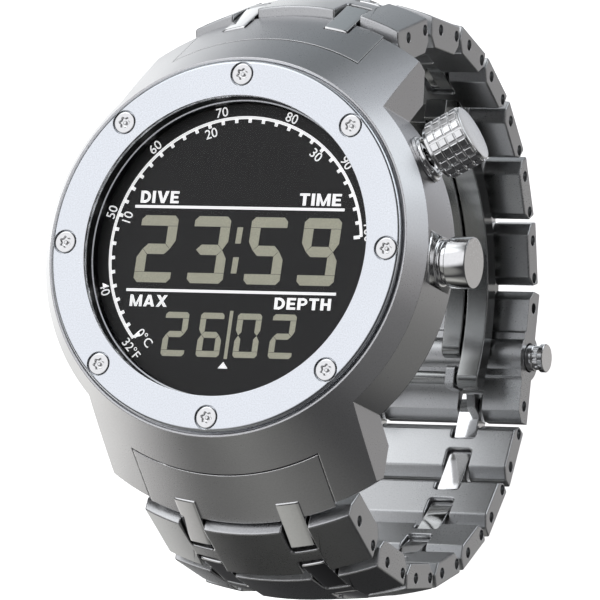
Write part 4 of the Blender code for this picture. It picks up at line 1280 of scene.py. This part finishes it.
def make_connector(letter, index, sign):
    pins = UPPER if sign > 0 else LOWER
    node = "connector_%s%d" % (letter, index + 1)
    last = len(LINK_CROWNS) - 1
    crowns = (LINK_CROWNS[max(index - 1, 0)], LINK_CROWNS[min(index, last)])
    if index == 0:
        crowns = (END_LINK_CROWN, LINK_CROWNS[0])
    if index > last:
        crowns = (LINK_CROWNS[last], COVER_CROWN)
    body = connector_pieces(
        "plates_%s%d" % (letter, index + 1), pins[2 * index], pins[2 * index + 1], sign,
        crowns, index == 0, 11.0 if index == 0 else PIN_REACH,
    )
    piece(body, node, "polished_steel", MIRROR, replaces=[node])


def make_bracelet():
    for letter, sign in (("u", 1), ("l", -1)):
        for index in range(len(LINK_CROWNS)):
            make_link(letter, index, sign)
            make_connector(letter, index, sign)
    make_connector("l", len(LINK_CROWNS), -1)


# ---------------------------------------------------------------- clasp

def to_plane(place):
    """A point of the object's frame as (depth, along) in mm."""
    return TOP - place.z / MM, place.y / MM


def cover_outline():
    inner = COVER_INNER + COVER_CHAMFER
    corners = [
        (COVER_INNER, -COVER_HALF + COVER_CHAMFER),
        (COVER_INNER, COVER_HALF - COVER_CHAMFER),
        (inner, COVER_HALF),
        (COVER_OUTER, COVER_HALF),
        (COVER_OUTER, -COVER_HALF),
        (inner, -COVER_HALF),
    ]
    return rounded_loop(corners, 0.14, 4)


def barrel_outline():
    """The barrel's section, with the small rise where it leaves the plate."""
    bulge = COVER_INNER - 0.35
    rise = [
        (COVER_INNER + 0.4, -BARREL_RADIUS - 0.35),
        (COVER_INNER, -BARREL_RADIUS - 0.35),
        (COVER_INNER - 0.06, -BARREL_RADIUS - 0.06),
        (bulge, -BARREL_RADIUS + 0.15),
    ]
    top = []
    for index in range(41):
        angle = math.pi * (1.0 - index / 40.0)
        depth = BARREL_DEPTH - BARREL_RADIUS * math.sin(angle)
        if depth < bulge:
            top.append((depth, BARREL_RADIUS * math.cos(angle)))
    fall = [(depth, -along) for depth, along in reversed(rise)]
    base = []
    for index in range(4, 27):
        angle = math.pi * index / 30.0
        base.append((BARREL_DEPTH + BARREL_RADIUS * math.sin(angle), BARREL_RADIUS * math.cos(angle)))
    return rise + top + fall + base


def ear_loops():
    """A hinge ear's outline and the eye for the blade's pin."""
    depth, along = FRAME_PIN
    corners = [
        (62.0, along - 0.2),
        (60.6, along - 0.2),
        (59.4, along - EAR_REACH),
        (depth - EAR_REACH, along - EAR_REACH),
        (depth - EAR_REACH, along + EAR_REACH),
        (62.0, along + EAR_REACH),
    ]
    eye = [(depth + x, along + y) for x, y in round_hole(0.0, 1.0)]
    return [rounded_loop(corners, 0.55, 6), eye]


def make_cover():
    depth, along = to_plane(LOWER[-1])
    loops = [cover_outline()]
    for sign in (1, -1):
        loops.append([(depth + x, sign * along + y) for x, y in round_hole(0.0, PIN_HOLE)])
    body = slab("cover_plate", loops, -BAND_HALF_WIDTH, BAND_HALF_WIDTH)
    reach = BAND_HALF_WIDTH - 0.013
    body = combine(body, slab("cover_barrel", [barrel_outline()], -reach, reach), "UNION")
    for sign_along in (1, -1):
        for side in (1, -1):
            low = point(side * POCKET_LOW, sign_along * (abs(along) - POCKET_END), 67.0)
            high = point(side * POCKET_HIGH, sign_along * (COVER_HALF + 3.0), 58.0)
            body = cut(body, block("pocket", low, high))
    for side in (1, -1):
        start = point(side * 4.1, 0.0, BARREL_DEPTH)
        end = point(side * (BAND_HALF_WIDTH + 2.0), 0.0, BARREL_DEPTH)
        body = cut(body, rod("bore", BORE_RADIUS, start, end, SMALL))
    for side in (1, -1):
        body = combine(body, slab("ear", ear_loops(), *across_span(side, *EAR_SIDES)), "UNION")
    tidy_mesh(body)
    piece(body, "clasp_cover", "blasted_steel", LINK_STEEL, replaces=["clasp_cover"])


def fluted(radius, angle):
    return radius * (1.0 + 0.07 * math.cos(10.0 * angle))


def make_button(node, side):
    steps = 120
    rings = [
        circle(1.6, 5.5, steps),
        circle(1.6, 13.55, steps),
        circle(1.52, 13.65, steps),
        circle(1.36, 13.68, steps, fluted),
        circle(1.40, 14.32, steps, fluted),
        circle(1.66, 14.38, steps),
        circle(1.72, 14.46, steps),
        circle(1.72, 14.98, steps),
        circle(1.65, 15.07, steps),
        circle(1.55, 15.1, steps),
    ]
    lay = Matrix.Rotation(math.radians(90.0 * side), 4, "Y")
    button = loft(node + "_head", rings, Matrix.Translation(point(0, 0, BARREL_DEPTH)) @ lay)
    obj = piece(button, node, "polished_steel", MIRROR, SATIN_END, replaces=[node])
    paint_end(obj, Vector((side, 0.0, 0.0)), 15.0)


def arc(radius, first, last, count):
    loop = []
    for index in range(count):
        angle = math.radians(first + (last - first) * index / (count - 1))
        loop.append((BLADE_CENTRE[0] + radius * math.cos(angle), BLADE_CENTRE[1] + radius * math.sin(angle)))
    return loop


def blade_angle(depth, along):
    return math.degrees(math.atan2(along - BLADE_CENTRE[1], depth - BLADE_CENTRE[0]))


def rail_loop(first, last):
    """A blade's rail from a rounded tip to a square end."""
    middle = (BLADE_INNER + BLADE_OUTER) / 2.0
    nose = (BLADE_OUTER - BLADE_INNER) / 2.0
    start = first + math.degrees(nose / middle)
    centre = arc(middle, start, start + 1.0, 2)[0]
    tip = []
    for index in range(1, 14):
        angle = math.radians(start + 180.0 + 180.0 * index / 14.0)
        tip.append((centre[0] + nose * math.cos(angle), centre[1] + nose * math.sin(angle)))
    count = 44
    return arc(BLADE_OUTER, start, last, count) + arc(BLADE_INNER, last, start, count) + tip


def make_frame_blade():
    depth, along = FRAME_PIN
    loop = rail_loop(blade_angle(depth, along) - 3.4, 84.0)
    parts = []
    for side in (1, -1):
        rail = slab("rail", [loop], *across_span(side, *FRAME_RAIL))
        parts.append(bevelled(rail, RAIL_EDGE, 3))
    parts.append(rod("blade_pin", 0.8, point(-7.6, along, depth), point(7.6, along, depth), SMALL))
    body = merged("frame_blade", parts)
    piece(body, "clasp_frame_blade", "polished_steel", DARKENED_BLADE_STEEL, replaces=["clasp_frame_blade"])


def local_loop(first, second, corners):
    """Corners along and outward from a line of two (depth, along) points."""
    line = (Vector(second) - Vector(first)).normalized()
    side = Vector((-line.y, line.x))
    return [tuple(Vector(first) + line * s + side * t) for s, t in corners]


def make_tongue_blade():
    first, second = to_plane(UPPER[-2]), to_plane(UPPER[-1])
    pitch = (Vector(second) - Vector(first)).length
    low, high = TONGUE_RAIL
    loop = rail_loop(blade_angle(59.0, -1.2), 80.0)
    band = arc(BLADE_OUTER, 28.0, 38.0, 8) + arc(BLADE_INNER, 38.0, 28.0, 8)
    web = local_loop(first, second, [(-0.9, 0.0), (-0.9, -4.6), (2.0, -4.6), (2.0, 0.0)])
    height = PLATE_HEIGHT
    corners = [(-1.1, height - 0.3), (-1.1, -height + 0.3), (-0.6, -height), (pitch + 1.0, -height),
               (pitch + 1.0, height), (-0.6, height)]
    plate = local_loop(first, second, rounded_loop(corners, 0.2))
    parts = [bevelled(slab("crossbar", [band], -low - 0.6, low + 0.6), 0.1)]
    for side in (1, -1):
        for shape, inner, outer, edge in (
            (loop, low, high, RAIL_EDGE),
            (web, PLATE_LOW, high - 0.02, 0.05),
            (plate, PLATE_LOW, PLATE_HIGH, 0.12),
        ):
            part = slab("part", [shape], *across_span(side, inner, outer))
            parts.append(bevelled(part, edge, 3))
    start = Vector(UPPER[-2]) - Vector((PIN_REACH * MM, 0.0, 0.0))
    end = Vector(UPPER[-2]) + Vector((PIN_REACH * MM, 0.0, 0.0))
    parts.append(rod("pin", PIN_RADIUS, start, end, 24, dome=0.12))
    body = merged("tongue_blade", parts)
    piece(body, "clasp_tongue_blade", "polished_steel", DARKENED_BLADE_STEEL, replaces=["clasp_tongue_blade"])


# ---------------------------------------------------------------- inner parts that stay as packed

KEPT = {
    "crystal_gasket": RUBBER,
    "caseback_gasket": RUBBER,
    "circuit_board": BOARD,
    "battery": MIRROR,
    "buzzer": BACK_STEEL,
    "pressure_sensor": BACK_STEEL,
    "crown_stem": MIRROR,
}


def dress_kept_nodes():
    for name, material in KEPT.items():
        node = frame["nodes"][name]
        node.data.materials.clear()
        node.data.materials.append(material)


# ---------------------------------------------------------------- stage

OVERHEAD = ((-0.40, 0.18, 0.90), (0.91, 0.915, 0.945), 0.70, 0.90)
LAMP_RIM = 0.90
LAMP_CORE = 0.992
LAMPS = (
    # direction, colour with its strength
    ((0.98, 0.18, 0.00), (0.36, 0.35, 0.35)),
    ((0.85, 0.52, -0.06), (0.72, 0.76, 0.80)),
    ((0.62, 0.77, -0.14), (0.80, 0.84, 0.87)),
    ((0.33, 0.91, -0.23), (0.62, 0.65, 0.69)),
    ((-0.21, 0.88, -0.43), (0.08, 0.09, 0.09)),
    ((-0.40, 0.74, -0.53), (0.21, 0.23, 0.25)),
    ((-0.51, 0.59, -0.62), (0.04, 0.03, 0.03)),
    ((-0.57, 0.35, -0.74), (0.98, 1.00, 1.00)),
    ((-0.66, 0.15, -0.73), (0.55, 0.55, 0.56)),
    ((-0.80, -0.05, -0.60), (0.42, 0.42, 0.41)),
    ((-0.82, -0.24, -0.51), (0.46, 0.46, 0.44)),
    ((-0.78, -0.47, -0.41), (0.54, 0.53, 0.52)),
    ((-0.40, -0.89, -0.21), (0.24, 0.24, 0.23)),
    ((-0.09, -0.99, -0.12), (0.18, 0.18, 0.17)),
    ((0.59, -0.81, 0.00), (0.05, 0.05, 0.05)),
    ((0.84, -0.54, 0.03), (0.11, 0.11, 0.11)),
    ((0.98, -0.19, 0.02), (0.11, 0.11, 0.11)),
    ((0.40, -0.10, -0.91), (0.20, 0.20, 0.19)),
    ((0.32, 0.30, -0.90), (0.27, 0.26, 0.26)),
    ((-0.05, 0.45, -0.89), (0.42, 0.44, 0.47)),
    ((-0.40, 0.90, 0.18), (0.74, 0.75, 0.77)),
    ((-0.40, 0.73, 0.56), (0.82, 0.85, 0.87)),
    ((-0.40, -0.69, 0.61), (0.20, 0.20, 0.19)),
)
SHADE = ((-0.28, -0.80, -0.56), 0.88, 0.975)  # a dark panel: direction, rim and core
SHADE_LEVEL = 0.2
AMBIENT = (0.045, 0.045, 0.047)


def lobe(nodes, direction, heading, rim, core):
    """A soft round patch of the sky: 0 beyond its rim and 1 inside its core."""
    aim = nodes.add("ShaderNodeVectorMath", operation="DOT_PRODUCT")
    nodes.link(direction, aim.inputs[0])
    aim.inputs[1].default_value = Vector(heading).normalized()
    fade = nodes.add("ShaderNodeMapRange", interpolation_type="SMOOTHSTEP")
    nodes.link(aim.outputs["Value"], fade.inputs["Value"])
    fade.inputs["From Min"].default_value = rim
    fade.inputs["From Max"].default_value = core
    return fade


def make_world():
    world = bpy.data.worlds.new("studio")
    bpy.context.scene.world = world
    world.use_nodes = True
    nodes = Nodes(world.node_tree)
    background = world.node_tree.nodes["Background"]
    direction = nodes.add("ShaderNodeTexCoord").outputs["Generated"]
    total = None
    lamps = [OVERHEAD] + [(heading, colour, LAMP_RIM, LAMP_CORE) for heading, colour in LAMPS]
    for heading, colour, rim, core in lamps:
        fade = lobe(nodes, direction, heading, rim, core)
        glow = nodes.add("ShaderNodeVectorMath", operation="SCALE")
        glow.inputs[0].default_value = colour
        nodes.link(fade.outputs["Result"], glow.inputs["Scale"])
        summed = nodes.add("ShaderNodeVectorMath", operation="ADD")
        if total is None:
            summed.inputs[0].default_value = AMBIENT
        else:
            nodes.link(total.outputs["Vector"], summed.inputs[0])
        nodes.link(glow.outputs["Vector"], summed.inputs[1])
        total = summed
    kept = lobe(nodes, direction, *SHADE)
    kept.inputs["To Min"].default_value = 1.0
    kept.inputs["To Max"].default_value = SHADE_LEVEL
    dimmed = nodes.add("ShaderNodeVectorMath", operation="SCALE")
    nodes.link(total.outputs["Vector"], dimmed.inputs[0])
    nodes.link(kept.outputs["Result"], dimmed.inputs["Scale"])
    nodes.link(dimmed.outputs["Vector"], background.inputs["Color"])
    seen = nodes.add("ShaderNodeBackground")
    seen.inputs["Color"].default_value = (1.0, 1.0, 1.0, 1.0)
    path = nodes.add("ShaderNodeLightPath")
    mix = nodes.add("ShaderNodeMixShader")
    nodes.link(path.outputs["Is Camera Ray"], mix.inputs[0])
    nodes.link(background.outputs[0], mix.inputs[1])
    nodes.link(seen.outputs[0], mix.inputs[2])
    nodes.link(mix.outputs[0], world.node_tree.nodes["World Output"].inputs["Surface"])


FLOOR_SIZE = 4.0
FLOOR_GAP = 0.0005


def make_floor():
    height = CAD_BOX[0].z - FLOOR_GAP
    bm = bmesh.new()
    for x, y in ((-1, -1), (1, -1), (1, 1), (-1, 1)):
        bm.verts.new((x * FLOOR_SIZE, y * FLOOR_SIZE, height))
    bm.faces.new(bm.verts)
    floor = from_bmesh("studio_floor", bm)
    material, nodes, shader = new_material("floor_pale")
    position = nodes.add("ShaderNodeTexCoord").outputs["Object"]
    nodes.link(
        nodes.blend(nodes.noise(position, 30.0), (0.90, 0.90, 0.90), (0.93, 0.93, 0.93)),
        shader.inputs["Base Color"],
    )
    shader.inputs["Roughness"].default_value = 0.9
    shader.inputs["Emission Color"].default_value = (1.0, 1.0, 1.0, 1.0)
    shader.inputs["Emission Strength"].default_value = 1.05
    floor.data.materials.append(material)
    floor.visible_glossy = False
    floor.visible_diffuse = False


SENSOR = 36.0
LENS = 497.69
CAMERA_PLACE = (386.41, -175.48, 857.67)
CAMERA_RIGHT = (0.91600, 0.10099, -0.38826)
CAMERA_UP = (-0.02074, 0.97842, 0.20557)
CAMERA_FORWARD = (-0.40064, 0.18025, -0.89833)


def make_camera():
    camera = bpy.data.objects.new("camera", bpy.data.cameras.new("camera"))
    bpy.context.scene.collection.objects.link(camera)
    matrix = Matrix.Identity(4)
    for row in range(3):
        matrix[row][0] = CAMERA_RIGHT[row]
        matrix[row][1] = CAMERA_UP[row]
        matrix[row][2] = -CAMERA_FORWARD[row]
        matrix[row][3] = CAMERA_PLACE[row] * MM
    camera.matrix_world = matrix
    camera.data.sensor_width = SENSOR
    camera.data.lens = LENS
    camera.data.clip_start = 0.05
    camera.data.clip_end = 20.0
    bpy.context.scene.camera = camera


bpy.context.scene.view_settings.view_transform = "Standard"
make_case()
make_end_link("end_link_upper", 1)
make_end_link("end_link_lower", -1)
make_bezel()
make_screws()
make_glass()
make_dial()
make_print()
make_lcd()
make_caseback()
make_collar("crown_collar", CROWN_ANGLE, "crown_tube")
make_collar("pusher_collar", PUSHER_ANGLE, "pusher_tube")
make_pusher()
make_crown()
make_bracelet()
make_cover()
make_button("clasp_button_right", 1)
make_button("clasp_button_left", -1)
make_frame_blade()
make_tongue_blade()
dress_kept_nodes()
make_world()
make_floor()
make_camera()
